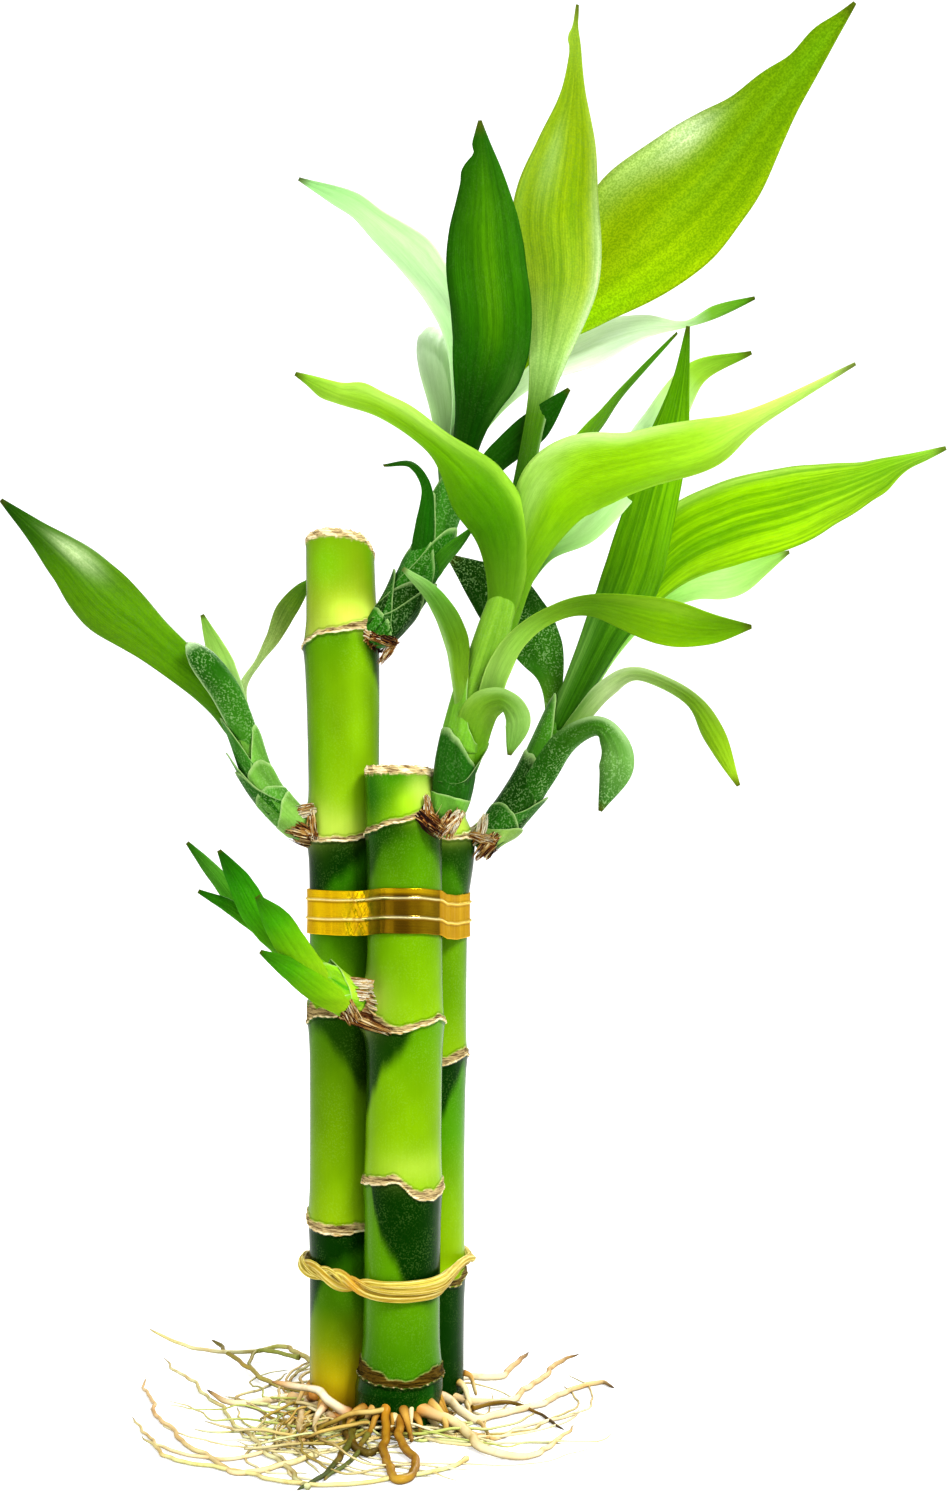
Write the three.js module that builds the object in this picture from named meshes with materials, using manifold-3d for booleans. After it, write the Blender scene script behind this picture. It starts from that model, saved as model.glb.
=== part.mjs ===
// Lucky bamboo: three cut canes held by a gold ribbon and a raffia tie, with leafy side shoots and a
// flat mat of roots. Millimetres, +Z up, +X to the right and +Y away from the viewer. The origin is
// the centre of the front cane's cut end, on the surface that the bamboo stands on.
import * as THREE from "three";
import { mergeVertices } from "three/addons/utils/BufferGeometryUtils.js";
import Module from "manifold-3d";

const wasm = await Module();
wasm.setup();

// ---- Driving dimensions ----
const GAP = 0.3; // clearance between touching pieces
const SLIVER = 0.02; // facets flatter than this are merged after a cut
const CANE_SIDES = 16;
const RING_PROUD = 0.7; // how far a ring scar stands out of the cane
const BLADE_THICK = 0.7; // thickness of a leaf
const SHEATH_THICK = 0.9; // thickness of a sheath fused to its shoot
const COLUMNS = { leaf: 4, narrow: 2, sheath: 3 }; // facets across a blade
const NARROW = 3.6; // a leaf with a smaller half width than this has the narrow count
const RIBBON = { low: 95, high: 104, thick: 0.9, ridge: 0.6 };
const RAFFIA = { mid: 29, strand: 1.1, turns: 7 };
const BAND_STEPS = 36; // facets round the ribbon and the raffia tie
const COLLAR = { wide: 1.7, high: 3.6 }; // callus that joins the roots round the cut ends

// A cane: axis is [z, x] points, radius is [z, r] points, rings are [z, lift towards +X, ripple].
const CANES = {
  cane_front: {
    y: 0,
    axis: [[0, 0], [12, 1], [45, 1.3], [80, 1.7], [117, 1.6], [129, 0.8]],
    radius: [[0, 8.5], [7, 8.5], [12, 7.6], [110, 7.5], [119, 7.2], [129, 7]],
    rings: [[10, 0.2, 0.5], [45.5, -0.4, 0.9], [77.3, 0.9, 0.4], [117.6, 1.3, 0.4]],
    top: 128.5,
    slope: 0,
    color: 0x8fbf18,
  },
  cane_tall: {
    y: 8.9,
    axis: [[0, -10.6], [100, -10.6], [140, -10.9], [176, -11.6]],
    radius: [[0, 7], [150, 7], [155, 7.3], [160, 7], [176, 6.8]],
    rings: [[36.4, 1.2, 0.5], [79, -0.6, 0.5], [114, 0.4, 0.3], [155, 1.5, 0.3]],
    top: 174,
    slope: -0.3,
    color: 0x86b812,
  },
  cane_right: {
    y: 14.2,
    axis: [[0, 6.1], [60, 6.4], [114, 6.8], [121, 8.5]],
    radius: [[0, 7.1], [110, 6.9], [114, 7], [117, 5.6], [121, 3.4]],
    rings: [[24.2, -0.5, 0.7], [67.7, 1.3, 0.4], [113.7, 0.3, 0.3]],
    top: 120,
    slope: 0.1,
    color: 0x7fae18,
  },
};

// A shoot: core is [x, y, z, radius] points of its stem, and each sheath is a list of blade stations.
const SHOOTS = {
  shoot_upper: {
    core: [[-5.5, 9, 155.5, 2.6], [-1.2, 9, 158.6, 3.2], [3.8, 10, 166.6, 3.4], [8, 11, 176.5, 3.2],
      [10.8, 11.5, 185, 2.8], [13, 12, 193, 1.6]],
    sheaths: [
      [[-4, 7, 153.5, 3, 0], [-3, 4.5, 158, 3, 0], [-4, 3.5, 162.5, 0.5, 0]],
      [[0, 7, 160, 2.6, 0], [2, 5.5, 164, 3, 30], [0.5, 5, 169.5, 0.5, 20]],
      [[4.5, 8.5, 164, 3.4, 0], [6, 6.5, 170, 3, 0], [8.5, 6, 175, 0.6, 0]],
      [[3, 13, 165, 3, 0], [5, 15, 172, 3, 0], [5, 15.5, 177, 0.6, 0]],
    ],
    color: 0x3f8a10,
  },
  shoot_front: {
    core: [[5, -3, 119.5, 3.2], [10, -4, 123.5, 3.7], [13, -5, 133, 4], [15.8, -6, 143.5, 3.5],
      [20, -6, 158, 3], [23.5, -4.5, 171, 1.4]],
    sheaths: [
      [[6, -6.5, 117.5, 3.4, -30], [11, -9, 121, 3.6, -30], [14, -8, 127, 3, -20],
      [15, -6, 131, 0.6, 0]],
      [[8, -6, 121, 2.6, 0], [8.5, -8.5, 129, 2.8, 0], [8, -8, 136.5, 0.5, 0]],
      [[15, -1, 124, 3, 20], [19, -1, 130, 2.8, 20], [20, -2, 136, 0.5, 0]],
    ],
    color: 0x9ccc22,
  },
  shoot_right: {
    core: [[13.5, 14.5, 113.5, 2.8], [19, 15, 117.5, 3.5], [26.6, 15, 126.8, 3.5],
      [32.6, 15, 137.8, 3.1], [37.3, 15, 149.5, 1.6]],
    sheaths: [
      [[14, 11, 112, 3.2, -10], [20, 10, 117, 3.6, -20], [25, 11, 123, 3, -10],
      [26.5, 12.5, 129, 0.5, 0]],
      [[18, 12, 116, 2.6, 0], [23, 10.5, 123, 3.2, 0], [25, 10.5, 131, 0.5, 0]],
      [[22, 18.5, 118, 3, 0], [28, 19, 128, 3, 0], [31, 19, 136, 0.5, 0]],
    ],
    color: 0x8ab82a,
  },
  shoot_left: {
    core: [[-15, 8, 115.5, 2.6], [-19.5, 6, 118, 3.1], [-26, 3, 125.5, 3.1], [-30, 1, 136, 2.6],
      [-33, 0, 143, 1.4]],
    sheaths: [
      [[-16.5, 4.5, 114, 2.8, 0], [-21, 2.5, 117, 3, 0], [-24.5, 2, 121, 0.6, 0]],
      [[-22, 1, 119, 2.4, 0], [-27, -0.5, 125, 3, 0], [-31, -1, 130, 0.5, 0]],
      [[-26, 6, 124, 2.6, 0], [-28, 6, 133, 2.4, 0], [-27, 7, 140, 0.5, 0]],
    ],
    color: 0x5c8a1c,
  },
  shoot_low: {
    core: [[-3.5, -4, 80.5, 2.6], [-9, -6.5, 82.5, 2.9], [-16, -10, 89.5, 2.7], [-22.5, -12, 97, 1.5]],
    sheaths: [
      [[-4, -7.5, 76.5, 3, 0], [-7, -8.5, 80, 3.2, 0], [-8.5, -9, 85.5, 0.6, 0]],
      [[-8, -9, 79.5, 2.4, 0], [-12, -11, 83, 2.4, 0], [-15, -12, 88, 0.5, 0]],
    ],
    color: 0x6fa81a,
  },
};

// A leaf: stations are [x, y, z, half width, turn about the rib in degrees]; curl is the half angle
// of its arched section in radians and waves the number of waves along its margins.
const LEAVES = {
  // on the upper shoot
  leaf_upper_upright: {
    stations: [[11, 9.5, 183, 2.4, 0], [14.8, 6, 197, 3.6, 0], [17.6, 4, 207, 7.2, 0],
      [18.9, 2, 216, 8.3, 0], [17.6, 0, 231, 7.9, 0], [17.4, -1, 242, 5.2, 10], [16.5, -3, 255, 0.4, 20]],
    curl: 0.5, waves: 3, color: 0x1f6b08,
  },
  leaf_upper_broad: {
    stations: [[12, 15, 184, 1.8, 0], [21.5, 17.5, 197, 1.3, 0], [28.8, 21, 211.5, 2.4, 0],
      [38, 24, 224.2, 9.2, 0], [51.6, 24, 239.6, 14.6, 0], [63.2, 22, 251, 12.2, 0],
      [72.6, 18, 261, 7.9, 0], [82.6, 13, 271.6, 3.6, 0], [91.5, 8, 281.5, 0.4, 0]],
    curl: 0.45, waves: 3, color: 0x8fc61c,
  },
  leaf_upper_pale_left: {
    stations: [[11, 17, 188, 1.8, 0], [13.5, 23, 206, 3, 0], [11.8, 28, 221.4, 4.1, 0],
      [3.4, 32, 234.5, 4.2, 0], [-9, 36, 246.6, 3, 0], [-22, 38, 253.5, 0.4, 0]],
    curl: -0.6, waves: 2, color: 0xc4e0a8,
  },
  leaf_upper_back: {
    stations: [[10, 16, 184, 2, 0], [9.5, 19.5, 198, 2.6, 0], [8, 28, 214, 4.8, 0],
      [8.7, 42, 221.5, 4.7, 0], [10.5, 63, 224, 2.6, 0], [11, 76, 226, 0.4, 0]],
    curl: 0.6, waves: 2, color: 0x9fc08a,
  },
  leaf_upper_pale_right: {
    stations: [[12, 13, 184, 1.8, 0], [20, 24, 201, 1.9, 0], [30, 31, 211.5, 2.5, 0],
      [41, 36, 218, 4, 0], [53, 42, 222, 2.8, 40], [66, 47, 226, 1.5, 50], [76.5, 50, 230.5, 0.4, 20]],
    curl: 0.6, waves: 2, color: 0xbfe0a0,
  },
  leaf_upper_hook: {
    stations: [[4.5, 6, 170, 2.4, 0], [5.5, 4.5, 177, 1.9, 0], [6, 3.5, 184, 1.2, 20],
      [3, 2, 188.5, 1.2, 50], [-2.5, 0, 188, 0.4, 40]],
    curl: 0.7, waves: 0, color: 0x1c5a0a,
  },
  leaf_upper_side: {
    stations: [[12, 9.5, 180, 2.2, 0], [16.5, 7, 186.6, 2.4, 0], [21, 5, 191, 2.9, 0],
      [27.4, 3, 196.3, 3.2, 0], [34, 0, 203, 0.4, 0]],
    curl: 0.6, waves: 0, color: 0x2d6f0c,
  },
  leaf_upper_short: {
    stations: [[8, 6, 164.5, 2, 0], [9.5, 3, 169, 1.8, 20], [12, 1, 172, 1.4, 30],
      [15, -1, 175.5, 0.4, 30]],
    curl: 0.7, waves: 0, color: 0x4f8f18,
  },
  // on the front shoot
  leaf_front_tall: {
    stations: [[21.5, -2.5, 168, 1.8, 0], [24.5, -2, 182.5, 2, 0], [27.6, 2, 198, 2.1, 0],
      [29.8, 5, 209.5, 3.8, 0], [32.4, 9, 226, 8.2, 0], [32, 12, 240, 9.2, 0], [34, 13, 254.5, 6.2, 0],
      [35.5, 14, 267, 2.2, 0], [36.3, 14, 283, 0.4, 30]],
    curl: 0.4, waves: 3, color: 0xb7d878,
  },
  leaf_front_left: {
    stations: [[20.5, -7.5, 157, 3.4, 0], [21.6, -11, 166.5, 4.4, 0], [20.6, -14, 174.2, 6.1, 0],
      [16, -17, 181.2, 6.4, -8], [8.6, -21, 188.7, 3.3, -35], [-1.4, -26, 195.1, 3.6, -45],
      [-10, -29, 197.6, 2.4, -40], [-17.5, -31, 201, 0.4, -20]],
    curl: 0.75, waves: 2, color: 0x9ed01c,
  },
  leaf_front_right: {
    stations: [[21, -3.5, 155, 2.8, 0], [24.6, -9, 167.5, 3.6, 0], [29.6, -15, 178.6, 7.6, 8],
      [35.5, -18, 183.5, 8.4, 18], [46, -23, 185.8, 6.6, 25], [57.4, -28, 187.9, 5.2, 25],
      [68, -32, 193.1, 2, 30], [84.5, -36, 202, 0.4, 30]],
    curl: 0.7, waves: 2, color: 0x9ccb20,
  },
  leaf_front_pale: {
    stations: [[22, -1.5, 160, 1.6, 0], [28.8, 1, 170.6, 2.2, 0], [37, 4, 176.4, 3.8, 0],
      [45, 8, 186, 4.4, 0], [52.5, 11, 196.5, 4.4, 0], [60, 14, 208, 2.6, 0], [71.5, 14, 212.5, 0.4, 0]],
    curl: -0.5, waves: 2, color: 0xcfe6a0,
  },
  leaf_front_thin: {
    stations: [[24.5, -3, 173, 1.4, 0], [29.8, 4, 183.5, 1.9, 40], [35.5, 8, 191.5, 2.6, 50],
      [40.6, 11, 197.6, 2.8, 60], [46, 14, 205, 1.6, 65], [57, 20, 217.5, 0.4, 50]],
    curl: 0.5, waves: 0, color: 0x6fa022,
  },
  leaf_front_arch: {
    stations: [[17.5, -9, 139, 2.7, 0], [20, -11, 147.5, 2.5, 0], [24, -13, 153.6, 2, 0],
      [30, -16, 157.8, 1.8, 20], [38, -20, 159.3, 2.4, 20], [50.5, -27, 155.7, 4.5, 0],
      [58.4, -30, 154.2, 3.2, 0], [66, -33, 154.5, 0.4, 0]],
    curl: -0.6, waves: 0, color: 0x8cc022,
  },
  leaf_front_small: {
    stations: [[13.4, -8.5, 138, 1.7, 0], [12.6, -10, 146, 1.8, 0], [11.8, -12, 153.5, 2.5, 0],
      [7.8, -17, 161, 1.8, 0], [2, -22, 166, 0.4, 0]],
    curl: 0.6, waves: 0, color: 0x86ba1e,
  },
  leaf_front_curled: {
    stations: [[14, -9, 129, 3.2, 0], [14.5, -10.5, 135, 3.6, 0], [17.4, -13, 140, 3.1, 30],
      [22.6, -16, 139.6, 3.2, 40], [22.4, -18, 132, 0.4, 0]],
    curl: 0.8, waves: 0, color: 0x8fbf2a,
  },
  // on the right shoot
  leaf_right_upright: {
    stations: [[32, 12, 136, 2.8, 0], [40.8, 10, 154, 4.4, 0], [46.2, 8, 165, 6.1, 0],
      [50, 6, 178, 5.6, 0], [53.5, 4, 192, 4.4, 0], [56, 2, 204, 1.9, 0], [57.5, 1, 215.5, 0.4, 0]],
    curl: 0.5, waves: 2, color: 0x8db82e,
  },
  leaf_right_large: {
    stations: [[35.5, 17.5, 142, 2.6, 0], [41, 18, 151.5, 2.8, 0], [48.6, 17, 163, 4, 0],
      [56.4, 15, 172.6, 7.6, 0], [67, 12, 178, 8.8, 0], [79, 8, 181, 8.2, 0], [89, 4, 184, 5.6, 0],
      [99, 0, 188, 2, 0], [107.5, -3, 191, 0.4, 0]],
    curl: 0.5, waves: 3, color: 0x7fae3a,
  },
  leaf_right_pale: {
    stations: [[35, 21, 139, 2.1, 0], [43.5, 26, 153, 2.3, 0], [52.5, 32, 162.5, 2.7, 0],
      [61.5, 38, 167.5, 3.8, 20], [71.5, 45, 169.5, 4.1, 20], [84.5, 54, 175.5, 0.4, 20]],
    curl: -0.5, waves: 2, color: 0xc9e2b4,
  },
  leaf_right_arch: {
    stations: [[31.5, 11, 131, 2.4, 0], [35.5, 9, 138.5, 2.4, 0], [41, 7, 144.8, 2.6, 20],
      [47, 4, 147, 1.9, 40], [57.2, 1, 142.2, 1.9, 40], [62.1, -2, 134.9, 2.4, 20],
      [67, -3, 125, 0.4, 0]],
    curl: 0.6, waves: 0, color: 0x79ac26,
  },
  leaf_right_hanging: {
    stations: [[28.4, 8.5, 123.6, 3.2, 0], [31.2, 6, 129.4, 3.4, 0], [35.8, 3, 134.8, 3.2, 10],
      [41, 0, 135.4, 3.3, 25], [43.6, -2, 128.6, 3.8, 10], [40, -2, 120, 0.4, 0]],
    curl: 0.8, waves: 0, color: 0x4c7a1c,
  },
  leaf_right_dark: {
    stations: [[30, 18.5, 130, 1.9, 0], [31.4, 19, 138, 1.6, 0], [31.2, 19.5, 146, 2.5, 0],
      [28.8, 20, 152.5, 5.1, 0], [24.8, 20.5, 159, 6.3, 0], [19.6, 21, 164.5, 5.9, 0],
      [10, 22, 172, 0.5, 0]],
    curl: 0.5, waves: 2, color: 0x2f6e12,
  },
  // on the left shoot
  leaf_left_large: {
    stations: [[-31.5, 1, 136, 2.8, 0], [-36, -1, 143, 3.4, 0], [-46.5, -4, 153, 4.2, 0],
      [-55.5, -6, 161, 5.9, 0], [-62.5, -8, 168.5, 4.4, 0], [-69, -9.5, 175, 1.7, 0],
      [-75.5, -11, 180, 0.4, 0]],
    curl: 0.6, waves: 3, color: 0x6a9a2a,
  },
  leaf_left_rolled: {
    stations: [[-28, -2, 130, 2.8, 0], [-30.5, -3.5, 138, 3.5, 0], [-34, -5.5, 145.5, 3.7, 0],
      [-37, -9, 149.5, 3.2, 10], [-38.5, -15, 148.5, 0.5, 10]],
    curl: 0.9, waves: 0, color: 0x3f6f16,
  },
  leaf_left_back: {
    stations: [[-29.5, 2, 133, 2.2, 0], [-33, 7.5, 143.5, 2.6, 0], [-36, 12, 150.5, 2.4, 0],
      [-40, 16, 159.5, 0.4, 0]],
    curl: -0.6, waves: 0, color: 0xa9cf7c,
  },
  leaf_left_stalked: {
    stations: [[-29.5, 7, 134, 1.5, 0], [-30, 12, 144, 1.3, 10], [-28, 16, 152, 1.3, 30],
      [-23.5, 20, 160, 2.6, 0], [-21, 22, 164, 2.2, 0], [-18, 23, 167.5, 0.4, 0]],
    curl: 0.6, waves: 0, color: 0x7fae36,
  },
  // on the low shoot
  leaf_low_left: {
    stations: [[-23.5, -10, 98, 1.4, 0], [-29.5, -8, 101.5, 1.9, 0], [-35, -6.5, 108, 1.6, 0],
      [-40.5, -5, 114, 0.4, 0]],
    curl: 0.6, waves: 0, color: 0x4f9418,
  },
  leaf_low_upper: {
    stations: [[-21, -13.5, 93.5, 2.2, 0], [-26, -14.5, 100.5, 2.9, 0], [-29.5, -15, 107, 2.3, 0],
      [-33, -17, 113, 0.4, 0]],
    curl: 0.6, waves: 0, color: 0x5fa01c,
  },
  leaf_low_thin: {
    stations: [[-23.5, -11, 95.5, 1.2, 0], [-31, -11, 101.5, 1.4, 0], [-37.5, -12, 105, 0.4, 0]],
    curl: 0.6, waves: 0, color: 0x4f9418,
  },
  leaf_low_front: {
    stations: [[-13.5, -12.5, 86, 2.8, 0], [-18, -16.5, 93, 3.2, 0], [-22, -18.5, 99.5, 2.8, 0],
      [-25.5, -20, 104.5, 0.5, 0]],
    curl: 0.7, waves: 0, color: 0x74b020,
  },
  leaf_low_outer: {
    stations: [[-9, -10.5, 82.5, 2.6, 0], [-14, -14, 86, 2.8, 0], [-19.5, -17, 90.5, 2.3, 0],
      [-25, -19, 94, 0.4, 0]],
    curl: 0.7, waves: 0, color: 0x86bc26,
  },
};

// Thick roots on the surface: [x, y] points, then the radius at the cane and at the tip.
const ROOTS = [
  { path: [[2, -6], [12, -11], [20, -22], [27, -24], [32, -16], [37, 1]], from: 1.6, to: 0.9 },
  { path: [[10, 8], [24, 9], [33, 18]], from: 1.3, to: 0.8 },
  { path: [[8, 6], [27, 12], [41, 26], [45, 21]], from: 1.4, to: 0.8 },
  { path: [[8, 20], [21, 31], [27, 49]], from: 1.3, to: 0.7 },
  { path: [[10, 12], [24, 14], [32, 37], [39, 47]], from: 1.2, to: 0.7 },
  { path: [[8, 20], [13, 19], [16, 1], [19, -15]], from: 1.3, to: 0.9 },
  { path: [[13, -4], [19, -13], [28, -4], [36, 3]], from: 1.1, to: 0.8 },
  { path: [[22, 12], [27, 6], [32, -9]], from: 1, to: 0.7 },
  { path: [[-1, -4], [-2, -21], [0, -38], [3, -40], [5, -28], [2, -4]], from: 1.1, to: 1 },
  { path: [[-4, -2], [-13, -8], [-16, -22]], from: 1.3, to: 0.8 },
  { path: [[-8, -6], [-10, -22], [-13, -36], [-17, -46]], from: 1.5, to: 0.8 },
  { path: [[-8, 6], [-15, 11], [-20, 24], [-29, 31]], from: 1.9, to: 1.1 },
  { path: [[-13, 8], [-25, 10], [-33, 9], [-40, 15]], from: 1.5, to: 0.8 },
  { path: [[-12, 6], [-20, 4], [-19, -6], [-14, -17]], from: 1.2, to: 0.7 },
  { path: [[-12, 16], [-20, 38], [-31, 48], [-43, 45], [-56, 56]], from: 1.1, to: 0.6 },
  { path: [[-14, 12], [-29, 24], [-37, 40], [-45, 59]], from: 1.1, to: 0.6 },
  { path: [[-13, 10], [-34, 18], [-46, 2], [-38, -17], [-28, -30]], from: 0.9, to: 0.7 },
  { path: [[-7, -5], [-28, -12], [-41, -24], [-28, -36], [-3, -40], [13, -33]], from: 0.9, to: 0.6 },
  { path: [[4, 18], [-4, 34], [4, 52]], from: 1, to: 0.6 },
  { path: [[-11, 15], [-14, 34], [-10, 52]], from: 1, to: 0.6 },
];
const FINE_ROOTS = { count: 22, reach: [24, 44], radius: 0.45, seed: 7 };

// ---- Helpers ----

// A seeded run of numbers from 0 to 1.
function randomRun(seed) {
  let state = seed;
  return () => {
    state = (state * 1664525 + 1013904223) % 4294967296;
    return state / 4294967296;
  };
}

// The value at z of a list of [z, value] points, straight between them.
function along(points, z) {
  const next = points.findIndex(([level]) => level >= z);
  if (next === 0) return points[0][1];
  if (next < 0) return points[points.length - 1][1];
  const [z0, v0] = points[next - 1];
  const [z1, v1] = points[next];
  return v0 + ((v1 - v0) * (z - z0)) / (z1 - z0);
}

// A closed solid through a row of loops with one number of points each. Its ends are capped with
// strips between the two halves of the loop, or joined to each other when it is a ring.
function loft(loops, ring = false) {
  const count = loops[0].length;
  const index = [];
  const quad = (a, b, c, d) => index.push(a, b, c, a, c, d);
  const spans = ring ? loops.length : loops.length - 1;
  for (let i = 0; i < spans; i++) {
    const here = i * count;
    const there = ((i + 1) % loops.length) * count;
    for (let j = 0; j < count; j++) {
      const k = (j + 1) % count;
      quad(here + j, here + k, there + k, there + j);
    }
  }
  if (!ring) {
    const last = (loops.length - 1) * count;
    for (let j = 0; j < count / 2 - 1; j++) {
      quad(j + 1, j, count - 1 - j, count - 2 - j);
      quad(last + j, last + j + 1, last + count - 2 - j, last + count - 1 - j);
    }
  }
  const vertProperties = new Float32Array(loops.flat().flatMap((point) => point.toArray()));
  const volumeOf = (triVerts) =>
    new wasm.Manifold(new wasm.Mesh({ numProp: 3, vertProperties, triVerts: new Uint32Array(triVerts) }));
  const solid = volumeOf(index);
  return solid.volume() > 0 ? solid : volumeOf(index.reverse());
}

// The solids fused into one.
function fuse(solids) {
  return solids.reduce((whole, piece) => whole.add(piece));
}

// The biggest of the bodies that a cut leaves, without the slivers that the cut makes.
function biggest(solid) {
  const bodies = solid.simplify(SLIVER).decompose();
  return bodies.reduce((most, body) => (body.volume() > most.volume() ? body : most));
}

// A tube of some sides along [x, y, z, radius] points.
function tube(points, sides, steps, grow) {
  const path = new THREE.CatmullRomCurve3(points.map(([x, y, z]) => new THREE.Vector3(x, y, z)));
  const radii = points.map((point, i) => [i / (points.length - 1), point[3]]);
  const loops = [];
  for (let i = 0; i <= steps; i++) {
    const t = i / steps;
    const rib = path.getTangent(t);
    const side = new THREE.Vector3(0, 0, 1).cross(rib);
    if (side.length() < 0.2) side.set(1, 0, 0);
    side.normalize();
    const up = rib.clone().cross(side);
    const centre = path.getPoint(t);
    const radius = along(radii, t) + grow;
    const loop = [];
    for (let j = 0; j < sides; j++) {
      const angle = (2 * Math.PI * (j + 0.5)) / sides;
      loop.push(centre.clone()
        .addScaledVector(side, radius * Math.cos(angle))
        .addScaledVector(up, radius * Math.sin(angle)));
    }
    loops.push(loop);
  }
  return loft(loops);
}

// A leaf blade or sheath: an arched strip of one thickness, swept along the rib. At a place v across
// it, from -1 to 1, and for half width w and half angle a of the arch, the strip lies w sin(a v) / a
// to the side of the rib and w (1 - cos(a v)) / a off it, so it is w wide each side at any angle.
function blade(stations, { curl, waves = 0, thick, steps, columns, grow }) {
  const rib = new THREE.CatmullRomCurve3(
    stations.map(([x, y, z]) => new THREE.Vector3(x, y, z)), false, "catmullrom", 0.5);
  const share = (i) => i / (stations.length - 1);
  const widths = stations.map((station, i) => [share(i), station[3]]);
  const turns = stations.map((station, i) => [share(i), station[4]]);
  const away = new THREE.Vector3(0, 1, 0);
  const loops = [];
  for (let i = 0; i <= steps; i++) {
    const t = i / steps;
    const run = rib.getTangent(t);
    const side = away.clone().cross(run).normalize();
    side.applyAxisAngle(run, THREE.MathUtils.degToRad(along(turns, t)));
    const face = run.clone().cross(side);
    const half = along(widths, t) + grow;
    const arch = Math.sign(curl) * Math.max(Math.abs(curl), 1.2 * (1 - 3 * t));
    const centre = rib.getPoint(t);
    if (grow > 0 && i === 0) centre.addScaledVector(run, -grow);
    if (grow > 0 && i === steps) centre.addScaledVector(run, grow);
    const row = (depth, v) => {
      const angle = Math.abs(arch) * v;
      const wave = waves ? 0.08 * half * Math.sin(2 * Math.PI * waves * t + v) * Math.abs(v) ** 3 : 0;
      const off = Math.sign(arch) * ((half * (1 - Math.cos(angle))) / Math.abs(arch)) + wave;
      const normal = face.clone().multiplyScalar(Math.cos(angle))
        .addScaledVector(side, -Math.sign(arch) * Math.sin(angle));
      return centre.clone()
        .addScaledVector(side, (half * Math.sin(angle)) / Math.abs(arch))
        .addScaledVector(face, off)
        .addScaledVector(normal, depth);
    };
    const across = Array.from({ length: columns + 1 }, (_, j) => (2 * j) / columns - 1);
    const deep = thick / 2 + grow;
    loops.push([
      ...across.map((v) => row(deep, v)),
      ...across.toReversed().map((v) => row(-deep, v)),
    ]);
  }
  return loft(loops);
}

// The outline round all three canes at a height, seen from above, as a tight band lies: the farthest
// point of any of the circles in each direction. Each entry is [x, y, direction].
function bandOutline(height, clear, count) {
  const circles = Object.values(CANES).map((cane) => [
    along(cane.axis, height), cane.y, along(cane.radius, height) + clear]);
  return Array.from({ length: count }, (_, i) => {
    const angle = (2 * Math.PI * i) / count;
    const [cos, sin] = [Math.cos(angle), Math.sin(angle)];
    const reach = ([x, y, r]) => x * cos + y * sin + r;
    const [x, y, r] = circles.reduce((most, circle) => (reach(circle) > reach(most) ? circle : most));
    return [x + r * cos, y + r * sin, angle];
  });
}

// ---- Sub-parts: each returns a solid, grown all round by grow ----

function makeCane({ y, axis, radius, rings, top, slope }, grow) {
  const levels = [];
  const add = (z, proud, lift = 0, ripple = 0) => levels.push({ z, proud, lift, ripple });
  add(-grow, 0);
  let below = 0;
  for (const [z, lift, ripple] of rings) {
    if (z - below > 24) add((below + z) / 2, 0);
    add(z - 1.7, 0, lift, ripple);
    add(z - 0.5, RING_PROUD, lift, ripple);
    add(z + 0.5, RING_PROUD, lift, ripple);
    add(z + 1.5, 0, lift, ripple);
    below = z;
  }
  add(top + grow, 0, slope * along(radius, top), 0);
  return loft(levels.map(({ z, proud, lift, ripple }) => {
    const reach = along(radius, z) + proud + grow;
    return Array.from({ length: CANE_SIDES }, (_, j) => {
      const angle = (2 * Math.PI * j) / CANE_SIDES;
      return new THREE.Vector3(
        along(axis, z) + reach * Math.cos(angle),
        y + reach * Math.sin(angle),
        z + lift * Math.cos(angle) + ripple * Math.sin(3 * angle + z));
    });
  }));
}

function makeShoot({ core, sheaths }, grow) {
  const shape = { curl: 1.1, thick: SHEATH_THICK, steps: 4, columns: COLUMNS.sheath, grow };
  return fuse([
    tube(core, 8, 2 * core.length - 2, grow),
    ...sheaths.map((stations) => blade(stations, shape)),
  ]);
}

function makeLeaf({ stations, curl, waves }, grow) {
  const widest = Math.max(...stations.map((station) => station[3]));
  const columns = widest < NARROW ? COLUMNS.narrow : COLUMNS.leaf;
  const steps = Math.round(1.4 * stations.length);
  return blade(stations, { curl, waves, thick: BLADE_THICK, steps, columns, grow });
}

// The foil ribbon: a flat band with two raised wire ridges, drawn tight round the canes.
function makeRibbon(_, grow) {
  const { low, high, thick, ridge } = RIBBON;
  const tall = high - low;
  const face = [[0, 0], [0.13, 0], [0.2, ridge], [0.27, 0], [0.58, 0], [0.65, ridge], [0.72, 0], [1, 0]];
  const loops = bandOutline((low + high) / 2, GAP, BAND_STEPS).map(([x, y, angle]) => {
    const at = (out, z) => new THREE.Vector3(x + out * Math.cos(angle), y + out * Math.sin(angle), z);
    const crumple = 0.25 * Math.sin(9 * angle);
    return [
      ...face.map(([share, proud]) =>
        at(thick + proud + grow, low - grow + crumple + (tall + 2 * grow) * share)),
      at(-grow, high + grow + crumple),
      at(-grow, low - grow + crumple),
    ];
  });
  return loft(loops, true);
}

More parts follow.
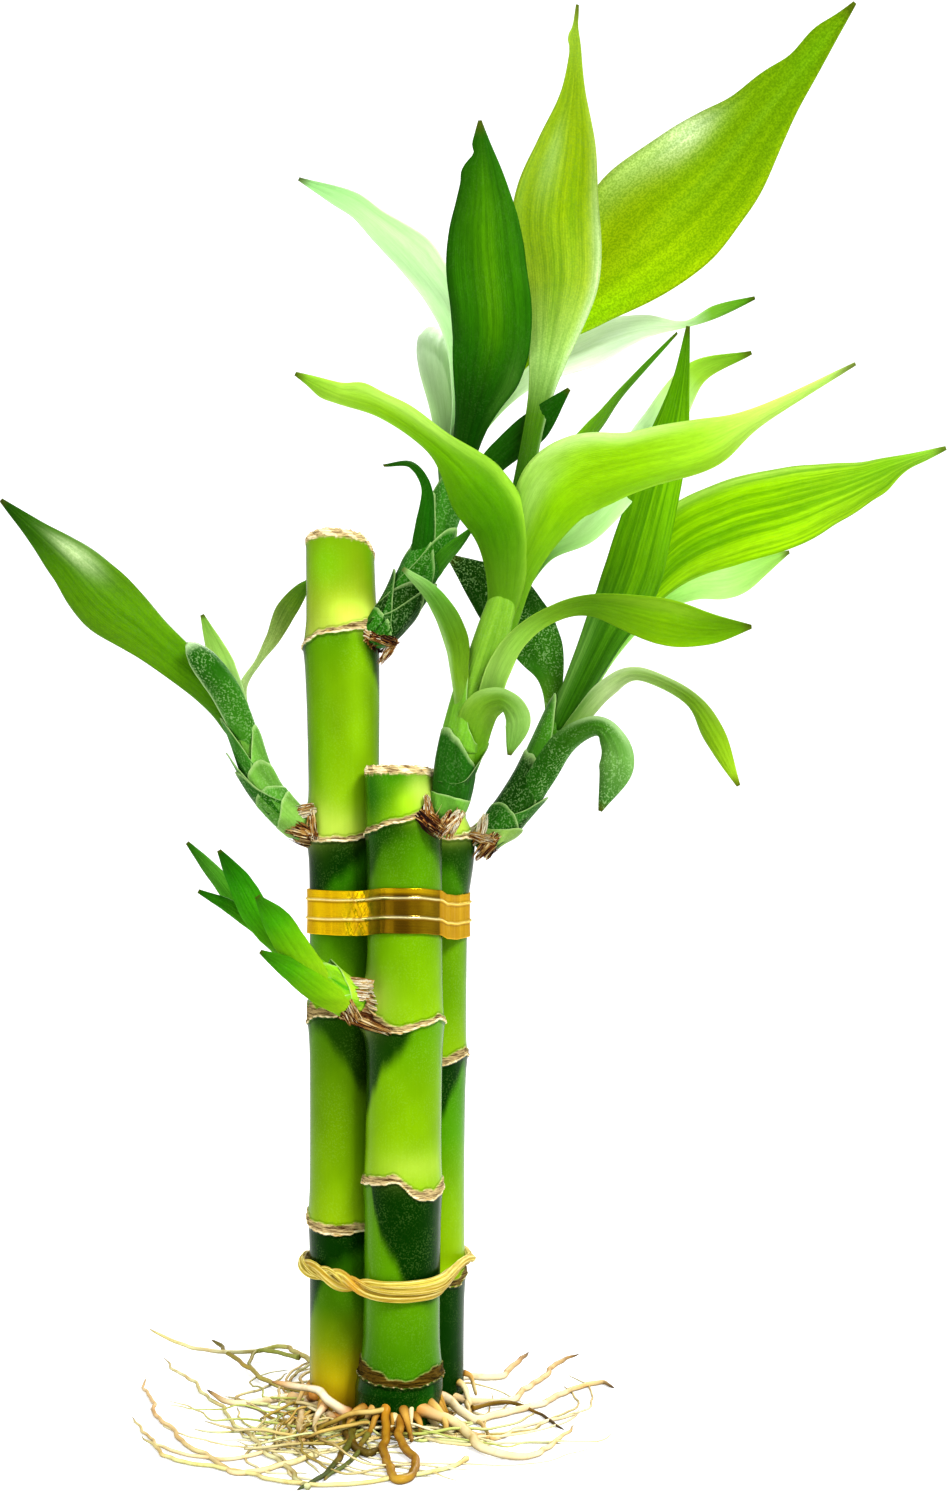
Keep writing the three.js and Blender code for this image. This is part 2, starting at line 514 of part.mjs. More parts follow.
// The raffia tie: a band of three strands that twist round each other.
function makeRaffia(_, grow) {
  const { mid, strand, turns } = RAFFIA;
  const loops = bandOutline(mid, GAP, BAND_STEPS).map(([x, y, angle]) =>
    Array.from({ length: 8 }, (_, j) => {
      const round = (2 * Math.PI * j) / 8;
      const reach = strand * (1 + 0.22 * Math.cos(3 * round - turns * angle)) + grow;
      const out = strand * 1.25 + reach * Math.cos(round);
      const z = mid + 1.7 * reach * Math.sin(round) + 0.5 * Math.sin(2 * angle);
      return new THREE.Vector3(x + out * Math.cos(angle), y + out * Math.sin(angle), z);
    }));
  return loft(loops, true);
}

// The roots lie flat on the surface and join in a callus collar round the three cut ends.
function makeRoots(_, grow) {
  const random = randomRun(FINE_ROOTS.seed);
  const between = (low, high) => low + (high - low) * random();
  const pieces = Object.values(CANES).map(({ y, axis, radius }) => {
    const wide = radius[0][1] + COLLAR.wide;
    const loops = [[wide, 0], [wide + 0.4, COLLAR.high / 2], [wide - 0.6, COLLAR.high]].map(([r, z]) =>
      Array.from({ length: 14 }, (_, j) => {
        const angle = (2 * Math.PI * j) / 14;
        const lump = 1 + 0.05 * Math.sin(5 * angle);
        return new THREE.Vector3(
          axis[0][1] + r * lump * Math.cos(angle), y + r * lump * Math.sin(angle), z);
      }));
    return loft(loops);
  });
  ROOTS.forEach(({ path, from, to }, i) => {
    const points = path.map(([x, y], k) => {
      const share = k / (path.length - 1);
      const radius = from + (to - from) * share;
      const lift = k === 0 || k === path.length - 1 ? 0 : 0.5 * (i % 3);
      return [x, y, radius * Math.SQRT1_2 + lift, radius];
    });
    pieces.push(tube(points, 4, 2 * path.length, grow));
  });
  const middle = [-1, 8];
  for (let i = 0; i < FINE_ROOTS.count; i++) {
    const heading = (2 * Math.PI * (i + random())) / FINE_ROOTS.count;
    const bend = between(-0.7, 0.7);
    const reach = between(...FINE_ROOTS.reach);
    const points = [0.25, 0.5, 0.75, 1].map((share) => {
      const angle = heading + bend * (share - 0.25);
      return [
        middle[0] + reach * share * Math.cos(angle), middle[1] + reach * share * Math.sin(angle),
        FINE_ROOTS.radius + share * (1 - share), FINE_ROOTS.radius];
    });
    pieces.push(tube(points, 4, 3, grow));
  }
  return fuse(pieces);
}

// ---- Assembly: each piece is cut clear of the ones before it ----

const plan = [
  ...Object.entries(CANES).map(([name, spec]) => ({ name, spec, make: makeCane, rough: 0.35 })),
  ...Object.entries(SHOOTS).map(([name, spec]) => ({ name, spec, make: makeShoot, rough: 0.5 })),
  { name: "gold_ribbon", spec: { color: 0xe0ad10 }, make: makeRibbon, rough: 0.3, metal: 1 },
  { name: "raffia_tie", spec: { color: 0xeadb7c }, make: makeRaffia, rough: 0.8 },
  { name: "root_mat", spec: { color: 0xc9a35c }, make: makeRoots, rough: 0.7 },
  ...Object.entries(LEAVES).map(([name, spec]) => ({ name, spec, make: makeLeaf, rough: 0.45 })),
];

// A three.js mesh of a manifold-3d solid.
function meshOf(solid, { name, spec, rough, metal = 0 }) {
  const { numProp, vertProperties, triVerts } = solid.getMesh();
  const geometry = new THREE.BufferGeometry();
  const buffer = new THREE.InterleavedBuffer(vertProperties, numProp);
  geometry.setAttribute("position", new THREE.InterleavedBufferAttribute(buffer, 3, 0));
  geometry.setIndex(new THREE.BufferAttribute(triVerts, 1));
  const flat = mergeVertices(geometry.toNonIndexed());
  flat.computeVertexNormals();
  const material = new THREE.MeshStandardMaterial({ color: spec.color, roughness: rough, metalness: metal });
  const mesh = new THREE.Mesh(flat, material);
  mesh.name = name;
  return mesh;
}

function overlaps(a, b) {
  return a.min.every((low, i) => low <= b.max[i] && b.min[i] <= a.max[i]);
}

const bamboo = new THREE.Group();
const placed = [];
for (const item of plan) {
  let solid = item.make(item.spec, 0);
  for (const earlier of placed)
    if (overlaps(solid.boundingBox(), earlier.boundingBox())) solid = solid.subtract(earlier);
  placed.push(item.make(item.spec, GAP));
  bamboo.add(meshOf(biggest(solid), item));
}

export default bamboo;
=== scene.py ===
"""Lucky bamboo: three cut canes held by a gold ribbon and a raffia tie, with leafy side shoots and
loose roots. Sizes are in millimetres in the tables, and in metres in the meshes. +Z is up, +X is to
the viewer's right and +Y leads away from the viewer; the origin is the foot of the front cane."""
import math

import bpy
import numpy as np
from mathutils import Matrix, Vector


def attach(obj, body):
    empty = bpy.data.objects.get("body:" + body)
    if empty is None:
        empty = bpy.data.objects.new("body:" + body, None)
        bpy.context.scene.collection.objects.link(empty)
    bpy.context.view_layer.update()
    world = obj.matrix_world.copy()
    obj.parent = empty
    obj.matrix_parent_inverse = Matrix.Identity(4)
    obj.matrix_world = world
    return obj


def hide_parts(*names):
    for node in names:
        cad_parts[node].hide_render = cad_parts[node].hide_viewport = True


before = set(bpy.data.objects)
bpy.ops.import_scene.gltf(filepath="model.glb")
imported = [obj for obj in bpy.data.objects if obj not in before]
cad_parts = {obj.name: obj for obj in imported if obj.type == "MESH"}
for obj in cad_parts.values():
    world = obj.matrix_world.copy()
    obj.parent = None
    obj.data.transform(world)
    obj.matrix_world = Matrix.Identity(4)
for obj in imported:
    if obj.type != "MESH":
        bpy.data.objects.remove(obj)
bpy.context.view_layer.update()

MM = 0.001

# ---- Sizes, close to the part's ----
CANES = {
    "cane_front": dict(
        y=0.0, axis=[(0, 0), (12, 1), (45, 1.3), (80, 1.7), (117, 1.6), (129, 0.8)],
        radius=[(0, 8.3), (7, 8.4), (11, 7.7), (16, 7.5), (110, 7.4), (119, 7.2), (129, 7)],
        top=128.5, slope=[(-180, 0.2), (-120, 0.5), (-60, 0.4), (-5, -0.5), (90, 0.0)]),
    "cane_tall": dict(
        y=8.9, axis=[(0, -10.6), (100, -10.6), (140, -10.9), (176, -11.6)],
        radius=[(0, 7), (122, 7), (145, 7.35), (154, 7.35), (158, 7), (176, 6.8)],
        top=174.0, slope=[(-180, 0.6), (-150, 1.3), (-110, 1.9), (-80, 1.6), (-45, 0.9), (-20, -0.8),
                          (0, -2.4), (60, -1.5), (120, 0.8)]),
    "cane_right": dict(
        y=14.2, axis=[(0, 6.1), (50, 6.4), (80, 6.8), (114, 7.2), (121, 8.5)],
        radius=[(0, 7.1), (110, 6.9), (114, 7), (117, 5.6), (121, 3.4)],
        top=120.0, slope=[(-180, -0.6), (0, 0.5)]),
}

# What the skin of each cane shows. Angles are in degrees round the cane: -90 faces the viewer, 0 is
# +X and 180 is -X.
# tones: each internode's, from its foot to its top. rings: heights of the scar by angle. wide: how
# tall each scar is in mm, by angle. burnt: how dark each scar is. patches: (ring, how far the dark
# green reaches down from it by angle, strength); it is partly the skin's own darker green below a
# node and partly painted shadow of the shoots, leaves and neighbouring canes. Then the painted
# highlights, pale spots of light on the skin, by a boss partly the pale skin round it: (angle,
# height, spread in degrees, spread in mm, strength). marks: the same with a tone; some are the
# skin's own tone, others painted highlights and painted shade down the sides of a cane. bosses:
# (angle, height, spread in degrees, spread in mm, rise in mm, dryness), where a shoot leaves.
SKINS = {
    "cane_front": dict(
        tones=["#1e6a04 #145f04",
               "#4c8c02 #609c02 #6aa602 #6aa402 #609a02",
               "#a4d01c #92c007 #86b804 #6aa804",
               "#a0d014 #8cbe06 #84b802 #7aae02 #6aa002 #548a02 #447a02",
               "#98cc14 #5c9c08 #6cae10"],
        rings=[[(-175, 10.2), (-120, 9.3), (-90, 8.8), (-60, 8.9), (-10, 9.8), (90, 8.8)],
               [(-180, 47.3), (-135, 47.6), (-98, 48.5), (-68, 45.2), (-40, 44.6), (-5, 46.2), (90, 46.5)],
               [(-170, 78.4), (-130, 77.6), (-90, 77.4), (-60, 78.8), (-30, 79.6), (0, 78.6), (90, 77.5)],
               [(-175, 115.3), (-140, 116.4), (-100, 118.0), (-60, 119.1), (0, 119.4), (90, 117.2)]],
        wide=[[(-180, 2.9), (-125, 2.6), (-100, 1.5), (-75, 1.2), (-40, 2.4), (90, 2.3)],
              [(-90, 1.3), (-60, 1.9), (90, 1.5)],
              [(-180, 4.4), (-155, 4.4), (-130, 2.6), (-105, 1.1), (-20, 0.9), (60, 1.0), (120, 2.5)],
              [(-180, 0.9), (-90, 0.8), (-60, 1.1), (-30, 2.2), (0, 3.0), (40, 1.2)]],
        burnt=[1.0, 0.3, 0.35, 0.45],
        patches=[(0, [(-180, 9), (-80, 9), (-60, 1.5), (-40, 1), (-25, 8), (90, 9)], 0.8),
                 (1, [(-180, 0), (-142, 0), (-133, 6), (-120, 11), (-102, 15), (-85, 18.5), (0, 20),
                     (90, 12)], 1.0),
                 (2, [(-180, 19), (-160, 16), (-140, 12), (-120, 7), (-100, 4), (-75, 1), (-50, 0),
                     (60, 0), (120, 8)], 0.95),
                 (3, [(-180, 14), (-150, 9), (-120, 3), (-60, 2), (-30, 8), (0, 14), (90, 14)], 0.75)],
        highlight_spots=[(-38, 123.0, 26, 3.8, 0.55), (-52, 121.6, 20, 2.4, 0.4), (-66, 124.2, 16, 3.4, 0.3),
               (-170, 83.5, 42, 4.5, 0.9), (-70, 51, 60, 3, 0.2)],
        marks=[(-150, 124, 26, 8, "#185c03", 0.8), (-98, 126.6, 34, 1.6, "#287004", 0.6),
               (-80, 121.4, 20, 3.0, "#a8d424", 0.7), (-60, 108, 30, 9, "#5c9c04", 0.3)],
        bosses=[(180, 81.5, 34, 4.2, 2.6, 1.0), (-15, 120.5, 34, 3.0, 1.2, 0.8)]),
    "cane_tall": dict(
        tones=["#ecb418 #e0c818 #94a808 #5f9202 #4c8c02 #3c8402",
               "#a8cc12 #8ab404 #7aa401 #709e02 #5c9402",
               "#8cbe08 #70a804 #5c9c04 #448e02 #3c8a02",
               "#c4e04c #a0cc14 #8cba0a #88b60a #80b006 #649e04",
               "#d0de5c #b6cc34 #a2c01c #88b414"],
        rings=[[(-180, 38.9), (-150, 37.2), (-120, 36.4), (-85, 36.5), (-50, 37.2), (90, 36.5)],
               [(-170, 77.5), (-130, 79.4), (-60, 79.5), (90, 79)],
               [(-175, 115.4), (-140, 114.1), (-90, 114.1), (-50, 114.8), (90, 114)],
               [(-178, 152.2), (-150, 153.6), (-120, 155.0), (-90, 155.6), (-40, 156.3), (20, 156.5),
                (100, 154.5)]],
        wide=[[(-180, 1.5), (-90, 1.7), (90, 1.6)],
              [(-180, 4.4), (-155, 3.8), (-135, 1.6), (-90, 1.1), (90, 1.2)],
              [(-180, 2.8), (-155, 2.2), (-125, 0.9), (-60, 0.8), (90, 0.9)],
              [(-180, 0.8), (-120, 0.8), (-70, 1.1), (-35, 1.7), (0, 2.6), (40, 1.6), (90, 1.0)]],
        burnt=[0.35, 0.6, 0.3, 0.3],
        patches=[(0, [(-180, 24), (-165, 19), (-140, 13), (-115, 7), (-90, 4.6), (-50, 3.8),
                     (90, 10)], 1.0),
                 (1, [(-180, 1), (-120, 3), (-90, 8), (-60, 14), (0, 16), (90, 8)], 0.85),
                 (2, [(-180, 22), (-150, 14), (-120, 10), (-95, 7), (-70, 4), (-40, 3), (90, 8)], 1.0),
                 (3, [(-180, 2), (-130, 0.5), (-70, 0.5), (-40, 7), (-10, 12), (60, 10), (120, 3)], 0.8)],
        highlight_spots=[(-24, 158.4, 38, 2.6, 0.75), (-62, 158.0, 26, 1.6, 0.5), (-160, 118.5, 42, 4.5, 0.6),
               (-90, 117, 50, 2.5, 0.2)],
        # Marks at -62 and -128 degrees near 140 mm: painted highlight down the lit side, painted shade down
        # the other.
        marks=[(-112, 167.5, 44, 4.5, "#6cac04", 0.6), (-30, 170, 16, 8, "#7cb40c", 0.5),
               (-66, 159.4, 44, 2.4, "#cce450", 0.6), (-62, 140, 20, 16, "#9ccc14", 0.4),
               (-128, 138, 20, 18, "#6ca004", 0.4)],
        bosses=[(175, 117.0, 30, 3.4, 1.2, 1.0), (-10, 157.5, 28, 2.6, 0.9, 0.9)]),
    "cane_right": dict(
        tones=["#2c7a04 #1c5c04",
               "#b4dc08 #98c808 #60a404 #4c9404",
               "#a0cc14 #7cb002 #74a802 #509004 #3a7c04",
               "#a8d818 #bce048"],
        rings=[[(-160, 24.6), (-90, 25.0), (-40, 24.6), (-10, 26.2), (90, 24)],
               [(-150, 67.4), (-90, 68.6), (-20, 70.6), (90, 68)],
               [(-160, 114.2), (-90, 114.4), (-20, 114.1), (90, 113.7)]],
        wide=[[(0, 1.3)], [(-150, 1.0), (-20, 1.6), (90, 1.2)],
              [(-150, 0.5), (-60, 0.6), (-20, 1.2), (40, 1.6)]],
        burnt=[0.9, 0.5, 0.35],
        patches=[(0, [(-180, 26), (90, 26)], 0.95),
                 (1, [(-180, 22), (-110, 17), (-75, 11), (-50, 5), (-25, 2), (0, 3), (90, 14)], 1.0),
                 (2, [(-180, 9), (-100, 7), (-60, 5), (-20, 12), (30, 16), (90, 10)], 0.8)],
        highlight_spots=[(-60, 117, 60, 3, 0.5)],
        marks=[(-80, 117, 40, 2.5, "#c8e848", 0.6)],
        bosses=[(0, 110.5, 55, 7, 1.1, 0.0)]),
}

# A shoot has a round core, and sheaths that clasp it: (start, end along the core, facing, how much
# of its length it keeps at its back, flare of its tip in mm, how narrow the tip is, tone).
SHOOTS = {
    "shoot_upper": dict(
        core=[(-5.5, 6.5, 154.4, 2.6), (-1.8, 5, 157.4, 3.4), (3.8, 8, 166.6, 3.4), (8, 10.5, 176.5, 3.2),
              (10.8, 11.5, 185, 2.8), (13, 12, 193, 1.6)],
        tones="#1d5a0a #1c5c0a #4c8c28", speckle=0.28,
        sheaths=[(0.02, 0.22, 200, 0.55, 0.1, 0.8, "#2c7414"), (0.1, 0.4, 350, 0.15, 0.4, 1.6, "#14480a"),
                 (0.12, 0.36, 290, 0.2, 0.4, 1.4, "#0e3e06"), (0.14, 0.38, 190, 0.1, 0.6, 2.6, "#1c5c0c"),
                 (0.2, 0.52, 250, 0.2, 0.3, 1.2, "#2c7414"), (0.26, 0.62, 320, 0.1, 0.6, 2.4, "#2a7010"),
                 (0.34, 0.74, 205, 0.15, 0.2, 2.0, "#1a5a0a"), (0.46, 0.9, 285, 0.3, 0.3, 1.3, "#3a7c20")]),
    "shoot_front": dict(
        core=[(7.2, -3, 116.5, 3.0), (10.6, -4, 122.4, 3.5), (12.1, -5, 131, 3.7), (15.4, -6, 143.5, 3.5),
              (20, -6, 158, 3), (23.5, -4.5, 171, 1.4)],
        tones="#548c20 #689c28 #80ac38 #80b030", speckle=0.1,
        sheaths=[(0.1, 0.23, 265, 0.9, 0.05, 1.0, "#6ca43c"), (0.19, 0.48, 208, 0.1, 0.15, 0.36, "#1f5e10"),
                 (0.28, 0.46, 12, 0.05, 0.9, 4.5, "#1c5410"), (0.42, 0.7, 200, 0.1, 0.2, 2.6, "#78b034")]),
    "shoot_right": dict(
        core=[(15.6, 14.5, 112.6, 2.6), (21.4, 15, 117.8, 3.4), (27.3, 15, 126.3, 3.5),
              (32.7, 15, 137.8, 3.1), (37.3, 15, 149.5, 1.6)],
        tones="#265c14 #3c7c18 #508c20 #5c9428", speckle=0.3,
        sheaths=[(0.08, 0.27, 328, 0.1, 0.5, 3.2, "#94b85c"), (0.08, 0.32, 255, 0.3, 0.2, 1.0, "#2c6c18"),
                 (0.14, 0.6, 208, 0.05, 0.25, 0.5, "#174c0a"), (0.2, 0.46, 345, 0.1, 0.5, 3.0, "#2c6c18"),
                 (0.4, 0.84, 205, 0.2, 0.25, 2.0, "#4c8c24")]),
    "shoot_left": dict(
        core=[(-15, 8, 115.5, 2.6), (-20, 6, 117.4, 2.9), (-26.4, 3, 125.0, 2.8), (-30.4, 1, 135.8, 2.4),
              (-33, 0, 143, 1.4)],
        tones="#8cc060 #6ca03c #74a844", speckle=0.3,
        sheaths=[(0.22, 0.42, 330, 0.45, 0.2, 1.3, "#8cbc58"), (0.3, 0.5, 270, 0.25, 0.2, 0.9, "#5c9838"),
                 (0.34, 0.6, 200, 0.12, 0.6, 2.0, "#24640f"), (0.36, 0.62, 290, 0.25, 0.3, 1.6, "#74a848"),
                 (0.4, 0.68, 190, 0.1, 0.9, 3.4, "#3c8024"), (0.44, 0.76, 330, 0.15, 0.3, 2.4, "#74ac48"),
                 (0.5, 0.86, 200, 0.1, 0.5, 3.0, "#3c8024")]),
    "shoot_low": dict(
        core=[(-3.0, 0.5, 80.5, 1.8), (-8.6, -5.8, 83.4, 3.4), (-16, -10, 89.8, 2.9),
              (-22.5, -12, 97, 1.5)],
        tones="#b4dc3c #8ccc1c #4c9c10", speckle=0.08,
        sheaths=[(0.3, 0.52, 215, 0.3, 0.2, 1.6, "#84bc1c"), (0.3, 0.6, 20, 0.15, 0.3, 1.8, "#b0dc38"),
                 (0.32, 0.7, 290, 0.15, 0.25, 1.6, "#90cc20"), (0.42, 0.86, 200, 0.2, 0.4, 2.0, "#5cac14")]),
}

# Papery husks. collars: (start and end along the core, how far they stand off it in mm, raggedness,
# pale tone, dark tone). fans of fibres: (start, end, how far they stand off at the start, facing,
# spread in degrees, count, paleness from -1 to 1). tufts of fibres lie over the joint in front: (from,
# to, half width in mm at each end, how far they bulge forwards, count, paleness).
HUSKS = {
    "shoot_upper": dict(
        collars=[(0.0, 0.07, 0.2, 0.5, "#a87c3c", "#4c2c10")],
        fans=[(0.0, 0.09, 1.0, 0, 180, 70, -0.2)],
        tufts=[((-6.4, 3.2, 155.4), (-3.0, 2.2, 154.2), 0.9, 0.7, 0.3, 144, 0.5),
               ((-4.6, 2.2, 154.6), (-0.4, 2.4, 153.0), 0.8, 0.7, 0.3, 168, -0.7),
               ((-0.2, 2.6, 153.4), (-3.2, 3.4, 149.4), 0.6, 0.3, 0.24, 81, 0.0)]),
    "shoot_front": dict(
        collars=[(0.03, 0.11, 0.2, 0.5, "#c8a468", "#6a4420")],
        fans=[(0.02, 0.15, 1.0, 0, 180, 80, 0.3)],
        tufts=[((6.8, -7.4, 118.4), (6.2, -6.9, 123.0), 0.9, 0.3, 0.3, 120, 0.1),
               ((5.0, -7.2, 119.6), (9.0, -8.0, 116.2), 1.4, 1.4, 0.42, 216, -0.95),
               ((11.2, -7.8, 119.4), (8.4, -7.8, 115.6), 1.3, 0.7, 0.3, 168, 0.2),
               ((12.6, -7.4, 120.0), (10.6, -7.0, 116.4), 1.0, 0.9, 0.24, 96, 0.7)]),
    "shoot_right": dict(
        collars=[(0.02, 0.1, 0.1, 0.5, "#c8a468", "#6a4420")],
        fans=[(0.0, 0.13, 0.9, 0, 180, 70, 0.5)],
        tufts=[((16.4, 10.8, 114.4), (17.4, 10.9, 118.8), 0.6, 0.3, 0.24, 90, 0.9),
               ((14.8, 10.6, 114.8), (19.2, 11.0, 113.6), 0.6, 0.8, 0.3, 120, 0.3),
               ((19.8, 11.4, 114.8), (16.0, 10.4, 110.4), 1.0, 0.6, 0.24, 120, -0.2)]),
    "shoot_left": dict(
        collars=[(0.06, 0.2, 0.2, 0.5, "#d8b880", "#7a4c20")],
        fans=[(0.04, 0.24, 1.0, 0, 180, 80, 0.5)],
        tufts=[((-16.6, 3.6, 120.4), (-21.0, 3.4, 119.2), 1.1, 0.9, 0.24, 120, 0.9),
               ((-16.4, 3.4, 115.0), (-21.2, 3.2, 116.8), 0.9, 1.5, 0.36, 192, -0.3),
               ((-16.8, 3.2, 119.6), (-16.4, 3.4, 114.4), 0.5, 0.6, 0.18, 72, 0.6)]),
    "shoot_low": dict(
        collars=[(0.2, 0.3, 0.2, 0.5, "#d8b880", "#7a4820")],
        fans=[(0.18, 0.33, 0.9, 0, 180, 90, 0.5)],
        tufts=[((-4.8, -7.4, 86.6), (-10.4, -8.6, 87.4), 0.9, 0.9, 0.36, 168, 0.95),
               ((-5.4, -8.4, 84.6), (-10.4, -9.6, 85.4), 0.9, 1.0, 0.24, 144, 0.75),
               ((-9.8, -9.9, 84.4), (-7.6, -10.0, 80.0), 1.2, 1.3, 0.24, 192, -0.15),
               ((-9.4, -9.9, 81.2), (-1.6, -8.0, 77.7), 1.3, 0.4, 0.24, 216, -0.35)]),
}
